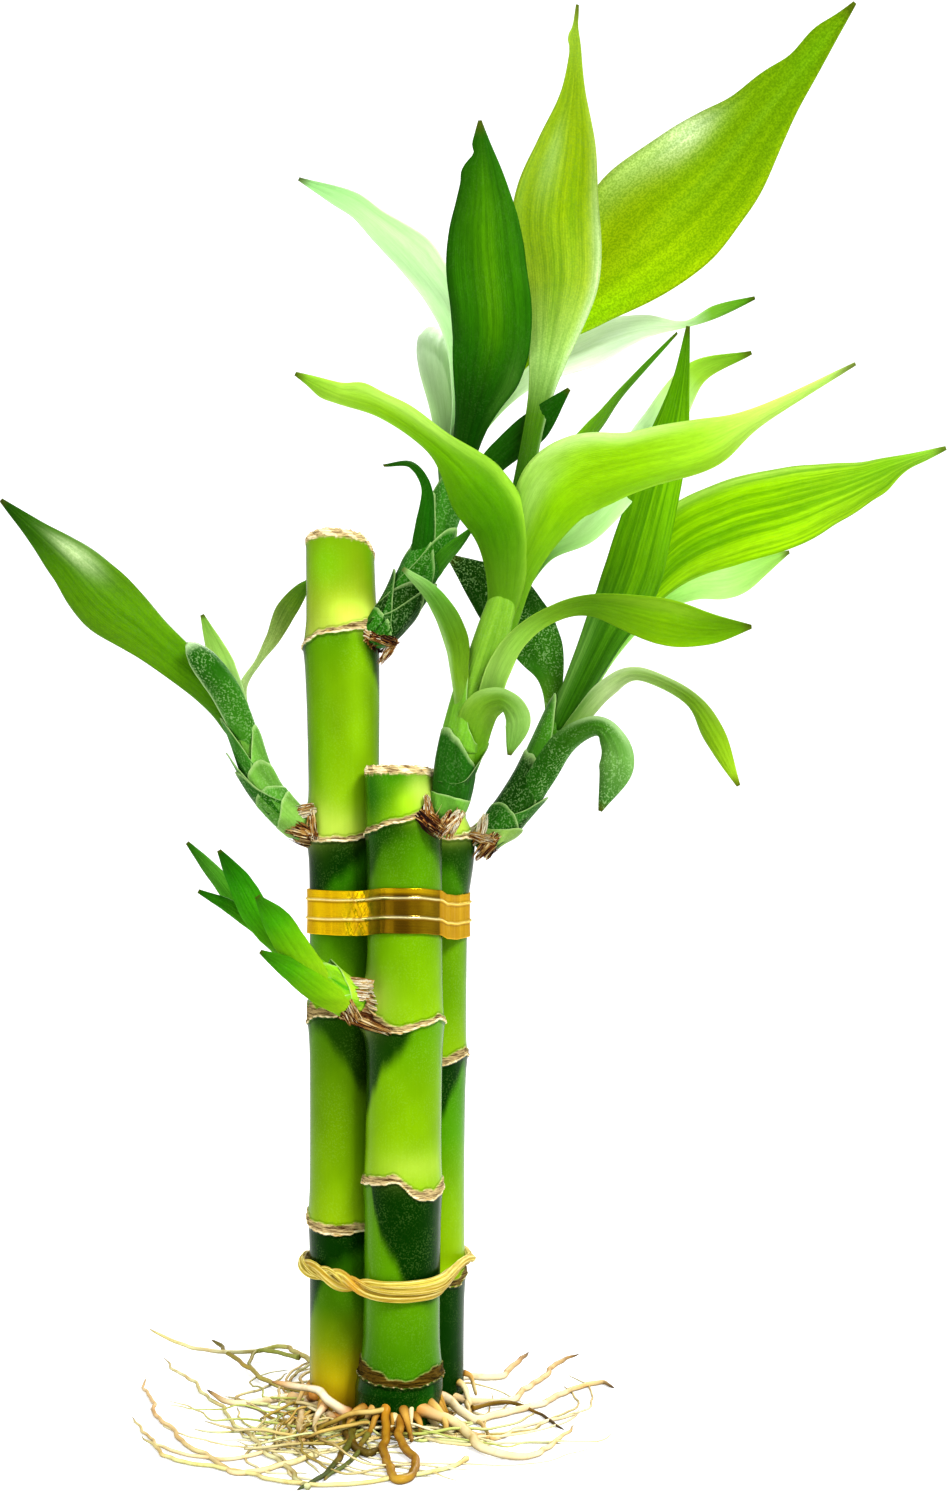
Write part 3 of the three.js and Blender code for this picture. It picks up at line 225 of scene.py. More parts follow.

# Leaf stations are (x, y, z, half width, turn in degrees). tones run from foot to tip; on the pale
# leaves the near-white tones are partly their own pale green and partly painted light, as though
# lit through from behind. marks are (place along, place across, size along, size across, tone,
# strength): most are painted highlights, sheen and shade on the blade, a few the leaf's own pale
# lips and speckles. nicks are (place along, side, depth as a share of the half width, size along)
# where an edge is drawn in or let out.
LEAVES = {
    "leaf_upper_upright": dict(
        stations=[(11, 9.5, 183, 2.4, 0), (14.8, 6, 197, 3.6, 0), (17.6, 4, 207, 7.2, 0),
                  (18.9, 2, 216, 8.3, 0), (17.6, 0, 231, 7.9, 0), (17.4, -1, 242, 5.2, 10),
                  (16.5, -3, 255, 0.4, 20)],
        curl=0.5, waves=3, finish="leaf_dark",
        tones="#0c4202 #0e4802 #1e6002 #347404 #306c04 #1e5806",
        marks=[(0.6, 0.02, 0.22, 0.26, "#5c9406", 0.65), (0.5, 0.45, 0.16, 0.14, "#3c7c04", 0.4),
               (0.78, -0.1, 0.12, 0.4, "#4c8604", 0.6), (0.3, 0.75, 0.12, 0.25, "#5c8a37", 0.5),
               (0.6, -0.95, 0.3, 0.22, "#124c04", 0.8), (0.62, 0.95, 0.25, 0.15, "#1c5c08", 0.6),
               (0.2, 0.0, 0.14, 0.7, "#0c4203", 0.7)],
        nicks=[(0.925, -1, 0.35, 0.014), (0.885, -1, -0.15, 0.02)]),
    "leaf_upper_broad": dict(
        stations=[(12, 15, 184, 1.6, 0), (15, 17.5, 196, 1.3, 0), (26, 21, 213, 1.8, 0),
                  (36.8, 24, 226.4, 8.2, 0), (51.2, 24, 240, 14.3, 0), (63.2, 22, 251, 12.2, 0),
                  (72.6, 18, 261, 7.9, 0), (82.6, 13, 271.6, 3.6, 0), (91.5, 8, 281.5, 0.4, 0)],
        curl=0.45, waves=3, finish="leaf_broad",
        tones="#c8ec14 #ccec14 #c4e40e #b4cc0a #98b808 #8cb008 #84ac0a #80a40c",
        # The first two marks are a painted highlight along the upper edge.
        marks=[(0.64, -0.78, 0.06, 0.28, "#f4fcdc", 0.95), (0.56, -0.85, 0.09, 0.25, "#d4ec94", 0.8),
               (0.36, 0.75, 0.14, 0.45, "#b0e40c", 0.7), (0.4, -0.9, 0.08, 0.3, "#a8cc38", 0.6),
               (0.7, 0.1, 0.2, 0.12, "#a0cc30", 0.4), (0.9, 0, 0.06, 0.6, "#8cc014", 0.6)],
        nicks=[(0.93, -1, -0.35, 0.035), (0.86, -1, 0.15, 0.03), (0.75, -1, 0.1, 0.04),
               (0.8, 1, 0.08, 0.05)]),
    "leaf_upper_pale_left": dict(
        stations=[(11, 17, 188, 1.8, 0), (13.5, 23, 206, 3, 0), (11.8, 28, 221.4, 4.1, 0),
                  (3.4, 32, 234.5, 4.2, 0), (-9, 36, 246.6, 3.0, 0), (-22, 38, 253.5, 0.4, 0)],
        curl=-0.6, waves=2, finish="leaf_pale",
        tones="#b4e09c #ccecb8 #d4f0c4 #ccecb8 #a0d08c",
        nicks=[(0.62, 1, -0.25, 0.06), (0.8, -1, 0.2, 0.05), (0.75, 1, 0.2, 0.05)]),
    "leaf_upper_back": dict(
        stations=[(10, 16, 184, 2, 0), (9.5, 19.5, 198, 2.6, 0), (8, 28, 214, 4.8, 0),
                  (8.7, 42, 221.5, 4.7, 0), (10.5, 63, 224, 2.6, 0), (11, 76, 226, 0.4, 0)],
        curl=0.6, waves=2, finish="leaf_pale",
        # Its near-white tones are painted light over a blade that bends away into shade.
        tones="#3c7424 #bcd8a4 #dcf0d0 #e8fcdc #d4ecc8"),
    "leaf_upper_pale_right": dict(
        stations=[(12, 13, 184, 1.6, 0), (15.5, 22, 197, 1.5, 0), (26, 29, 209.5, 2.4, 0),
                  (40, 36, 217.6, 4.4, 0), (51, 41, 222, 3.2, 30), (60.5, 45, 223.6, 1.0, 50),
                  (68, 48, 227, 1.7, 40), (76.5, 50, 230.5, 0.4, 20)],
        curl=0.6, waves=2, finish="leaf_pale",
        tones="#b8e498 #d4f4bc #f2fdea #f4fff0 #eafcdc #8cc044 #5a9a14"),
    "leaf_upper_hook": dict(
        stations=[(4.5, 6, 170, 2.4, 0), (5.5, 4.5, 177, 1.9, 0), (6, 3.5, 184, 1.2, 20),
                  (3, 2, 188.5, 1.2, 50), (-2.5, 0, 188, 0.4, 40)],
        curl=0.7, waves=0, finish="leaf_dark",
        tones="#1c5c0a #1f640a #184e08"),
    "leaf_upper_side": dict(
        stations=[(12, 9.5, 180, 2.2, 0), (16.5, 7, 186.6, 2.4, 0), (21, 5, 191, 2.9, 0),
                  (27.4, 3, 196.3, 3.2, 0), (34, 0, 203, 0.4, 0)],
        curl=0.6, waves=0, finish="leaf_dark",
        tones="#2c7010 #1e5c06 #145004 #1c5c08"),
    "leaf_upper_short": dict(
        stations=[(6.2, 9, 165.5, 1.2, 0), (8.8, 5.6, 169.6, 1.7, 15), (12, 2, 172.6, 1.4, 30),
                  (15, -1, 175.5, 0.4, 30)],
        curl=0.7, waves=0, finish="leaf_dark",
        tones="#3a8014 #4f9420 #3a8014"),
    "leaf_front_tall": dict(
        stations=[(21.5, -2.5, 168, 1.8, 0), (24.5, -2, 182.5, 2, 0), (27.6, 2, 198, 2.1, 0),
                  (29.8, 5, 209.5, 3.8, 0), (32.4, 9, 226, 8.2, 0), (32.0, 12, 240, 9.2, 0),
                  (34, 13, 254.5, 6.2, 0), (35.5, 14, 267, 2.2, 0), (36.3, 14, 283, 0.4, 30)],
        curl=0.4, waves=3, finish="leaf_veined",
        tones="#2c640a #346c0e #548418 #aacc78 #a4bc34 #96b20e #9cb612 #9cb81e #aac848",
        # The first and third marks are painted sheen.
        marks=[(0.72, -0.35, 0.07, 0.25, "#bcd88c", 0.5), (0.5, -0.05, 0.1, 0.3, "#78a408", 0.6),
               (0.45, 0.95, 0.25, 0.16, "#dcf0c8", 0.7), (0.6, -0.9, 0.2, 0.15, "#a8cc60", 0.4),
               (0.62, 0.35, 0.12, 0.12, "#78a408", 0.5)],
        nicks=[(0.95, -1, -0.8, 0.012), (0.97, 1, 0.5, 0.02)]),
    "leaf_front_left": dict(
        stations=[(19.4, -5.4, 153, 2.4, 0), (21.4, -9.4, 164.5, 4.2, 0), (20.6, -14, 174.2, 6.1, 0),
                  (16, -17, 181.2, 6.4, -8), (8.6, -21, 188.7, 3.3, -35), (-1.4, -26, 195.1, 3.6, -45),
                  (-10, -29, 197.6, 2.4, -40), (-17.5, -31, 201, 0.4, -20)],
        curl=0.75, waves=2, finish="leaf_bright",
        tones="#74a824 #6ca01c #589206 #5e9a06 #7cb808 #a4d828 #b8e44c #8cc030",
        marks=[(0.34, 0.9, 0.2, 0.25, "#b0e048", 0.85), (0.3, -0.3, 0.12, 0.5, "#4c9002", 0.5),
               (0.7, 0.8, 0.16, 0.4, "#d0f080", 0.7)],
        nicks=[(0.8, 1, -0.3, 0.04), (0.72, 1, 0.15, 0.04), (0.9, -1, -0.3, 0.04)]),
    "leaf_front_right": dict(
        stations=[(21, -3.5, 155, 2.8, 0), (24.6, -9, 167.5, 3.6, 0), (29.6, -15, 178.6, 7.6, 8),
                  (35.5, -18, 183.5, 8.4, 18), (46, -23, 185.8, 6.6, 25), (57.4, -28, 187.9, 5.2, 25),
                  (68, -32, 193.1, 2.0, 30), (84.5, -36, 202, 0.4, 30)],
        curl=0.7, waves=2, finish="leaf_bright",
        tones="#78b024 #84bc20 #98d008 #a6da11 #a8dc14 #b4e238 #d0f174 #c8ec80",
        marks=[(0.5, -0.95, 0.2, 0.25, "#dcf6a8", 0.9), (0.52, 0.75, 0.22, 0.3, "#80bc08", 0.55),
               (0.3, -0.5, 0.1, 0.3, "#c8e890", 0.5)],
        nicks=[(0.55, -1, 0.1, 0.05), (0.75, 1, -0.12, 0.05)]),
    "leaf_front_pale": dict(
        stations=[(22, -1.5, 160, 1.6, 0), (28.8, 1, 170.6, 2.2, 0), (37, 4, 176.4, 3.8, 0),
                  (45, 8, 186, 4.4, 0), (52.5, 11, 196.5, 4.4, 0), (60, 14, 208, 2.6, 0),
                  (71.5, 14, 212.5, 0.4, 0)],
        curl=-0.5, waves=2, finish="leaf_pale",
        tones="#7cb440 #90c468 #b8dc98 #c8e8b0 #dcf4c8 #a8d048 #78ac20"),
    "leaf_front_thin": dict(
        stations=[(24.5, -3, 173, 1.4, 0), (29.8, 4, 183.5, 1.9, 40), (35.5, 8, 191.5, 2.6, 50),
                  (40.6, 11, 197.6, 2.8, 60), (46, 14, 205, 1.6, 65), (57, 20, 217.5, 0.4, 50)],
        curl=0.5, waves=0, finish="leaf_bright",
        tones="#6ca41e #74a81c #6ca41e #4c8c14"),
    "leaf_front_arch": dict(
        stations=[(17.5, -9, 139, 2.7, 0), (20, -11, 147.5, 2.5, 0), (24, -13, 153.6, 2.0, 0),
                  (30, -16, 157.8, 1.8, 20), (38, -20, 159.3, 2.4, 20), (50.5, -27, 155.7, 4.5, 0),
                  (58.4, -30, 154.2, 3.2, 0), (66, -33, 154.5, 0.4, 0)],
        curl=-0.6, waves=0, finish="leaf_bright",
        tones="#8cb850 #a0c860 #98c450 #80ac2c #68981a #86b80a #7cb00c #6c9c14",
        marks=[(0.72, -0.7, 0.12, 0.3, "#a8d040", 0.6)]),
    "leaf_front_small": dict(
        stations=[(13.4, -8.5, 138, 1.7, 0), (12.6, -10, 146, 1.8, 0), (11.8, -12, 153.5, 2.5, 0),
                  (7.8, -17, 161, 1.8, 0), (2, -22, 166, 0.4, 0)],
        curl=0.6, waves=0, finish="leaf_bright",
        tones="#8cb850 #78a028 #68941c #6ca43c #a4cc80",
        marks=[(0.4, -0.9, 0.3, 0.25, "#c4e4a0", 0.7)]),
    "leaf_front_curled": dict(
        stations=[(13.6, -6.0, 127.5, 2.6, 0), (14.9, -8.2, 134.5, 3.7, 0),
                  (17.0, -11.8, 139.6, 3.8, 18), (20.6, -14.4, 141.0, 3.0, 36),
                  (23.2, -15.8, 137.4, 3.1, 30), (22.0, -16.4, 131, 0.4, 10)],
        curl=0.7, waves=0, finish="leaf_bright",
        tones="#549410 #74a824 #88b434 #7cac34 #98c464 #6c9c40",
        marks=[(0.35, 0, 0.1, 0.4, "#88bc34", 0.5), (0.6, -0.9, 0.2, 0.3, "#b4d48c", 0.6)]),
    "leaf_right_upright": dict(
        stations=[(32, 12, 136, 2.8, 0), (40.8, 10, 154, 4.4, 0), (46.2, 8, 165, 6.1, 0),
                  (50, 6, 178, 5.6, 0), (53.5, 4, 192, 4.4, 0), (56, 2, 204, 1.9, 0),
                  (57.5, 1, 215.5, 0.4, 0)],
        curl=0.5, waves=2, finish="leaf_striped",
        tones="#3c7414 #4c8818 #68a00a #78b008 #6aa408 #548c0c",
        marks=[(0.1, -0.7, 0.12, 0.3, "#98c468", 0.6), (0.45, 0.2, 0.2, 0.25, "#8cc40c", 0.5)]),
    "leaf_right_large": dict(
        stations=[(35.5, 17.5, 142, 2.6, 0), (41, 18, 151.5, 2.8, 0), (48.6, 17, 163, 4.0, 0),
                  (56.4, 15, 172.6, 7.6, 0), (67, 12, 178, 8.8, 0), (79, 8, 181, 8.2, 0),
                  (89, 4, 184, 5.6, 0), (99, 0, 188, 2, 0), (107.5, -3, 191, 0.4, 0)],
        curl=0.5, waves=3, finish="leaf_striped",
        tones="#6ca820 #80b81c #94c80c #a8dc08 #a8dc08 #a8d820 #98cc28 #a8d850",
        marks=[(0.5, -0.95, 0.35, 0.15, "#c8e878", 0.7), (0.52, 0.7, 0.15, 0.22, "#b8e41c", 0.6),
               (0.4, 0.2, 0.2, 0.25, "#78b80a", 0.6)],
        nicks=[(0.83, 1, -0.2, 0.03), (0.9, 1, 0.15, 0.03), (0.7, 1, 0.08, 0.04), (0.8, -1, 0.12, 0.04)]),
    "leaf_right_pale": dict(
        stations=[(35, 21, 139, 2.1, 0), (43.5, 26, 153, 2.3, 0), (52.5, 32, 162.5, 2.7, 0),
                  (61.5, 38, 167.5, 3.8, 20), (71.5, 45, 169.5, 4.1, 20), (84.5, 54, 175.5, 0.4, 20)],
        curl=-0.5, waves=2, finish="leaf_pale",
        tones="#98c868 #b4e084 #b8e488 #c4e898 #a8d860"),
    "leaf_right_arch": dict(
        stations=[(31.5, 11, 131, 2.2, 0), (36.4, 9, 138.2, 1.9, 0), (42.0, 7, 144.2, 2.2, 20),
                  (48, 4, 146.8, 1.9, 40), (57.4, 1, 142.2, 1.9, 40), (62.1, -2, 134.9, 2.4, 20),
                  (67, -3, 125, 0.4, 0)],
        curl=0.6, waves=0, finish="leaf_bright",
        tones="#5c8c2c #98bc64 #d0e4a8 #b4d47c #84ac30 #8cb420 #a8cc2c",
        marks=[(0.45, -0.9, 0.2, 0.3, "#d4e4b8", 0.6), (0.2, -0.7, 0.12, 0.4, "#5c9030", 0.7)]),
    "leaf_right_hanging": dict(
        stations=[(25.2, 12.6, 120.5, 2.8, 0), (29.0, 9.4, 127.0, 3.0, 0), (33.6, 5, 133.6, 2.7, 8),
                  (38.6, 1.5, 136.4, 2.4, 20), (41.6, -0.5, 134.6, 3.0, 25), (43.0, -2, 128.6, 3.7, 10),
                  (40, -2, 120, 0.4, 0)],
        curl=0.75, waves=0, finish="leaf_speckled",
        tones="#2c6c18 #2c6c14 #3c7418 #447c20 #6c9c4c #2c6420",
        marks=[(0.5, -0.9, 0.12, 0.25, "#c8e0a8", 0.6), (0.66, -0.9, 0.12, 0.25, "#b8d8a0", 0.7)]),
    "leaf_right_dark": dict(
        stations=[(30, 18.5, 130, 1.9, 0), (31.4, 19, 138, 1.6, 0), (31.2, 19.5, 146, 2.5, 0),
                  (28.8, 20, 152.5, 5.1, 0), (24.8, 20.5, 159, 6.3, 0), (19.6, 21, 164.5, 5.9, 0),
                  (10, 22, 172, 0.5, 0)],
        curl=0.5, waves=2, finish="leaf_speckled",
        tones="#74a828 #6a9e29 #3c781c #24600e #124404 #0e3c03"),
    "leaf_left_large": dict(
        stations=[(-31.5, 1, 136, 2.8, 0), (-36, -1, 143, 3.4, 0), (-46.6, -4, 152.8, 4.6, 0),
                  (-55.9, -6, 160.6, 6.5, 0), (-62.9, -8, 168.2, 4.8, 0), (-69.6, -9.5, 174.6, 2.2, 0),
                  (-75.5, -11, 180, 0.4, 0)],
        curl=0.6, waves=3, finish="leaf_veined",
        tones="#4c8c14 #5c9810 #64980c #60920b #588a0c #3c7010 #124c06",
        # The first mark is a painted highlight.
        marks=[(0.68, 0.45, 0.09, 0.32, "#dcecbc", 0.85), (0.4, -0.6, 0.2, 0.4, "#78a818", 0.5)]),
    "leaf_left_rolled": dict(
        stations=[(-28, 0.5, 130, 2.4, 0), (-30.6, -2.5, 137.5, 3.2, 0), (-34, -4.5, 144.5, 3.6, 0),
                  (-37.2, -6.0, 149.0, 3.2, 0), (-39.2, -6.5, 151.6, 2.0, 10), (-40.4, -7, 152.6, 0.4, 10)],
        curl=1.1, waves=0, finish="leaf_speckled",
        tones="#4c8c28 #3c7c20 #246010 #1c580c #c8e4b0",
        marks=[(0.9, 0.9, 0.12, 0.5, "#dcf0cc", 0.9), (0.5, -0.95, 0.5, 0.12, "#c8e4a8", 0.8)]),
    "leaf_left_back": dict(
        stations=[(-29.5, 2, 133, 2.2, 0), (-33, 7.5, 143.5, 2.6, 0), (-36, 12, 150.5, 2.4, 0),
                  (-40, 16, 159.5, 0.4, 0)],
        curl=-0.6, waves=0, finish="leaf_pale",
        tones="#8cc060 #b8dc90 #b4d878 #8cb84c"),
    "leaf_left_stalked": dict(
        stations=[(-30, 6, 136, 1.4, 0), (-31, 8.5, 144.2, 0.9, 10), (-28.2, 12, 149.8, 0.8, 30),
                  (-25.6, 16, 154.8, 1.5, 0), (-23.4, 20, 160.4, 2.2, 0), (-20.8, 22, 164.4, 1.7, 0),
                  (-18.4, 23, 167.2, 0.4, 0)],
        curl=0.6, waves=0, finish="leaf_veined",
        tones="#c4dc9c #c0d494 #b0c474 #8cb040 #5c9424"),
    "leaf_low_left": dict(
        stations=[(-23.5, -10, 98, 1.4, 0), (-29.5, -8, 101.5, 1.9, 0), (-35, -6.5, 108, 1.6, 0),
                  (-40.5, -5, 114, 0.4, 0)],
        curl=0.6, waves=0, finish="leaf_dark",
        tones="#5cac14 #4c9c1c #4c8c28 #1c5c08"),
    "leaf_low_upper": dict(
        stations=[(-21, -13.5, 93.5, 2.2, 0), (-26, -14.5, 100.5, 2.9, 0), (-29.5, -15, 107, 2.3, 0),
                  (-33, -17, 113, 0.4, 0)],
        curl=0.6, waves=0, finish="leaf_dark",
        tones="#64ac10 #44980c #2c8008 #145804"),
    "leaf_low_thin": dict(
        stations=[(-23.5, -11, 95.5, 1.2, 0), (-31, -11, 101.5, 1.4, 0), (-37.5, -12, 105, 0.4, 0)],
        curl=0.6, waves=0, finish="leaf_dark",
        tones="#5ca41c #4c9810 #2c7c08 #1c6008"),
    "leaf_low_front": dict(
        stations=[(-13.5, -12.5, 86, 2.8, 0), (-18, -16.5, 93, 3.2, 0), (-22, -18.5, 99.5, 2.8, 0),
                  (-25.5, -20, 104.5, 0.5, 0)],
        curl=0.7, waves=0, finish="leaf_bright",
        tones="#a8d420 #80ba10 #4ca00a #347c0a"),
    "leaf_low_outer": dict(
        stations=[(-9, -10.5, 82.5, 2.6, 0), (-14, -14, 86, 2.8, 0), (-19.5, -17, 90.5, 2.3, 0),
                  (-25, -19, 94, 0.4, 0)],
        curl=0.7, waves=0, finish="leaf_bright",
        tones="#a8d420 #80ba10 #50a00a #347c0a"),
}

# Thick roots: path (x, y, z), radius at the cane, radius at the tip, tones from the cane to the tip.
ROOTS = [
    ([(4.6, -6, 4.2), (7.6, -7, 3.4), (13.2, -11.3, 1.6), (18.5, -23.5, 1.1), (23.7, -26, 0.9),
     (29, -20.3, 0.7), (34.8, -3.9, 0.5)], 1.35, 0.4, "#c88c3c #f4e4b4 #f8ecc4 #f0dca4"),
    ([(6, -2, 5.0), (9.2, 4, 3.6), (14.3, -1.8, 1.2), (18.1, 0.2, 0.9), (27.1, 8, 0.8),
     (33.5, 17.5, 0.7), (41.3, 26.7, 0.6),
     (44.2, 22.8, 0.4)], 1.15, 0.4, "#c8843c #f8ecc8 #f4e0b0 #f4e4c0 #e0c48c #5c3814"),
    ([(8, 7.5, 7.5), (10.6, 12, 4.5), (13, 14, 2.6), (14.6, 4, 1.0),
     (18.5, -13.9, 0.6)], 0.85, 0.4, "#d8c058 #f8f0c8 #f4e4b4 #e0c888"),
    ([(8, 20, 3), (13, 26.7, 1.6), (20.5, 29, 1.2), (23.5, 35.3, 1.4),
     (26.8, 46.8, 1.6)], 0.95, 0.5, "#e0b878 #f8f0d4 #f4e4bc #f0dcae #dcc08c #5c3818"),
    ([(10, 10, 2.5), (16, 10, 1.2), (22.6, 12.3, 0.9), (27.5, 24.3, 0.8), (32.5, 37.8, 1.0),
     (37.6, 46.8, 1.4)], 0.85, 0.45, "#e0b878 #f4e4bc #f4e4b8 #f0dcac #dcbc84 #4c2c14"),
    ([(9, -4, 1.6), (18, -12.6, 0.5), (24, -6.6, 0.5), (35.7, 4.4, 0.4)], 0.5, 0.3, "#d8b87c #f8ecc8"),
    ([(15, 4, 1.5), (21, 9, 1.4), (27, 5.9, 0.6), (32.5, -7.3, 0.4)], 0.5, 0.3, "#8c6c24 #6c5418 #4c3810"),
    ([(-1.6, -7.5, 5.0), (-1.9, -10, 3.4), (-1.4, -18, 0.9), (-0.8, -31, 0.8), (1.4, -38.6, 0.8),
     (3.4, -38.4, 0.9), (4.6, -33, 1.0), (2.2, -20, 1.4), (0.6, -10, 2.8),
     (0.4, -7.4, 4.2)], 0.85, 0.8, "#b87c14 #b88c28 #cca43c #a07820 #c89c38 #a87418"),
    ([(-6.0, -6.0, 4.2), (-7.8, -8.0, 3.8), (-8.8, -9.6, 2.0),
     (-9.0, -10.6, 0.9)], 0.95, 0.6, "#8c5c10 #d8b060 #b88c34 #7c5c18"),
    ([(-3.2, -7.4, 4.0), (-3.8, -9.2, 3.2), (-4.6, -11.4, 1.4),
     (-6.0, -14.0, 0.7)], 0.7, 0.45, "#8c5c10 #c09440 #a87c28 #6c4c14"),
    ([(1.6, -7.8, 4.8), (2.2, -9.6, 3.6), (3.0, -12.4, 1.4),
     (3.4, -16.0, 0.7)], 0.8, 0.5, "#8c5c10 #d0a44c #b08430 #7c5818"),
    ([(3.8, -7.4, 3.4), (4.8, -9.4, 2.6), (5.2, -11.4, 1.2),
     (4.6, -14.4, 0.6)], 0.7, 0.4, "#8c5c10 #c89c48 #b48c38 #7c5818"),
    ([(6.4, -5.0, 5.4), (8.2, -6.6, 4.4), (9.6, -8.6, 2.6),
     (10.0, -11.6, 0.9)], 0.85, 0.5, "#9c6c14 #e0bc6c #dcbc70 #a88038"),
    ([(-1.2, -7.8, 4.6), (-4.6, -9.6, 4.6), (-8.4, -10, 4.3), (-11.5, -10.5, 3.0), (-14.3, -11, 1.6),
     (-16, -20, 0.8)], 0.6, 0.4, "#c8b464 #d8c884 #b89c4c #8c7428 #6c5c1c"),
    ([(-6, -6, 3.4), (-9.9, -7.3, 2.0), (-8.6, -15, 1.0), (-4.8, -23.5, 0.9),
     (-2.4, -21, 0.8)], 0.95, 0.7, "#8c7020 #7c6418 #6c581c #54481c"),
    ([(-8, -9, 1.8), (-8.6, -20.3, 1.0), (-10.2, -30.2, 0.8), (-13.6, -40.3, 0.7),
     (-16, -44, 0.4)], 0.85, 0.3, "#8c8438 #6c7438 #54603c #4c5834"),
    ([(-5, -14, 1.4), (-7, -26, 0.8), (-10.4, -35, 0.6),
     (-11.6, -38.4, 0.4)], 0.55, 0.3, "#8c8c44 #6c7840 #5c6c44"),
    ([(-9.4, -1.5, 1.8), (-11, -1.6, 3.0), (-13.4, -1.5, 4.8), (-15.4, -0.6, 6.2), (-19.5, 3, 6.0),
     (-24.9, 6, 6.2)], 1.15, 0.6, "#c87c2c #f8e8c4 #fcf0d0 #f8ecd0 #c89454"),
    ([(-10, -2, 1.2), (-14, 1, 1.6), (-20.4, 12.3, 1.4), (-27.1, 10.2, 1.2), (-34.2, 8.7, 1.3),
     (-38.6, 14, 2.4)], 1.0, 0.5, "#a8682c #d8b068 #f8e4c0 #f0dcb4 #5c4418"),
    ([(-21.5, 12.5, 1.2), (-16.8, 6, 2.0), (-13.4, 0, 1.6),
     (-11.9, -3.5, 1.0)], 0.95, 0.9, "#e0bc80 #fcf0d0 #f8ecc8 #a87434"),
    ([(-16.4, 4, 4.2), (-17.6, 6, 2.4), (-18.8, 1, 1.2), (-18.7, -6, 0.9),
     (-15.8, -16.5, 0.8)], 0.9, 0.7, "#c8843c #fcf0d4 #f8e8c8 #f0e0b0"),
    ([(-13.8, -0.4, 3.6), (-15.4, -3, 1.8), (-15.6, -9, 0.9)], 0.75, 0.5, "#d89c50 #fcf4dc #f0e0b8"),
    ([(-12, 15, 3.4), (-20, 36, 3.2), (-27, 48, 2.6), (-32.7, 46, 2.0), (-41.9, 44, 2.6), (-50, 47, 4.0),
     (-54.6, 48, 6.5)], 0.6, 0.35, "#9c9c3c #e0dc98 #c8c870 #f0ecc0 #e4dca0 #d8c884"),
    ([(-22, 38, 2.8), (-31, 46, 2.2), (-32.6, 38, 1.2),
     (-28, 28, 0.8)], 0.5, 0.3, "#b0b860 #a0a850 #c8c880"),
    ([(-16, 14, 1.0), (-28, 27, 0.9), (-36, 42, 1.8),
     (-42.6, 54, 2.6)], 0.5, 0.45, "#d8cc80 #c8bc64 #a89c44 #6c6830"),
    ([(-14, -24, 0.8), (-24.6, -33.8, 0.5), (-31, -30.2, 0.5), (-42.5, -9.3, 0.5), (-49.4, 10.2, 0.5),
     (-54, 31, 0.5)], 0.6, 0.35, "#ece0a8 #f0dcac #e8d8a0 #f0d4a8 #f4e4c0"),
    ([(-14.3, -43, 0.4), (-21.9, -25.3, 0.6), (-28.2, -11.3, 0.7), (-38.8, 16, 0.7),
     (-52, 45, 0.8)], 0.5, 0.35, "#d8dca4 #ece8b8 #dce0a8 #ece8c0"),
    ([(14, -26, 0.5), (10.7, -31, 0.6), (-1.6, -39.5, 0.6), (-16.4, -41, 0.6), (-27.1, -33.8, 0.6),
     (-40.6, -26, 0.5), (-48, -12, 0.5)], 0.45, 0.4, "#e4dc9c #e0dc98 #e8dca0 #dcd890 #ece4ac"),
    ([(-10, -4, 1.4), (-20, -18, 0.8), (-30, -26, 0.5), (-44, -18, 0.5),
     (-52, 2, 0.4)], 0.5, 0.3, "#c8a058 #f0dcac #f0dcb0 #e8e4b0"),
]


# ---- Small helpers ----
def paint(tone):
    """The linear colour of an sRGB tone such as #8cc814, with the standard sRGB curve."""
    channels = np.array([int(tone[i:i + 2], 16) for i in (1, 3, 5)]) / 255
    return np.where(channels <= 0.04045, channels / 12.92, ((channels + 0.055) / 1.055) ** 2.4)


def blend_tones(tones, share):
    """A colour for each share from 0 to 1, straight between the evenly spaced tones of a string."""
    colours = np.array([paint(tone) for tone in tones.split()])
    stops = np.linspace(0, 1, len(colours))
    return np.stack([np.interp(share, stops, channel) for channel in colours.T], axis=-1)


def toward(tint, tone, share):
    """A colour array moved towards a tone by a share from 0 to 1 at each point."""
    share = np.clip(share, 0, 1)[..., None]
    return tint * (1 - share) + paint(tone) * share


def spline(points, t):
    """A uniform Catmull-Rom curve: through each point, with a slope of half the step between its
    neighbours. t runs from 0 to 1 over the list, and the ends are mirrored to give them a slope."""
    p = np.asarray(points, float)
    p = np.vstack([2 * p[0] - p[1], p, 2 * p[-1] - p[-2]])
    place = np.clip(t, 0, 1) * (len(p) - 3)
    i = np.minimum(place.astype(int), len(p) - 4)
    f = (place - i)[:, None]
    a, b, c, d = p[i], p[i + 1], p[i + 2], p[i + 3]
    return 0.5 * (2 * b + (c - a) * f + (2 * a - 5 * b + 4 * c - d) * f ** 2
                  + (3 * b - a - 3 * c + d) * f ** 3)


def along(points, z):
    """The value at z of a list of (z, value) points, straight between them."""
    table = np.asarray(points, float)
    return np.interp(z, table[:, 0], table[:, 1])


def turn_from(at, degrees):
    """How far an angle lies from another, from -180 to 180 degrees."""
    return (degrees - at + 180) % 360 - 180


def round_table(points, degrees):
    """Values round a cane: eased from one (angle, value) to the next, closed over 360 degrees."""
    table = np.asarray(sorted(points), float)
    a = np.concatenate([table[:, 0] - 360, table[:, 0], table[:, 0] + 360])
    v = np.tile(table[:, 1], 3)
    turned = turn_from(0, degrees)
    i = np.clip(np.searchsorted(a, turned, side="right") - 1, 0, len(a) - 2)
    f = (turned - a[i]) / (a[i + 1] - a[i])
    f = 0.5 * f + 0.5 * f * f * (3 - 2 * f)
    return v[i] + (v[i + 1] - v[i]) * f


def unit(v):
    """Each vector divided by its own length."""
    return v / np.maximum(np.linalg.norm(v, axis=-1, keepdims=True), 1e-12)


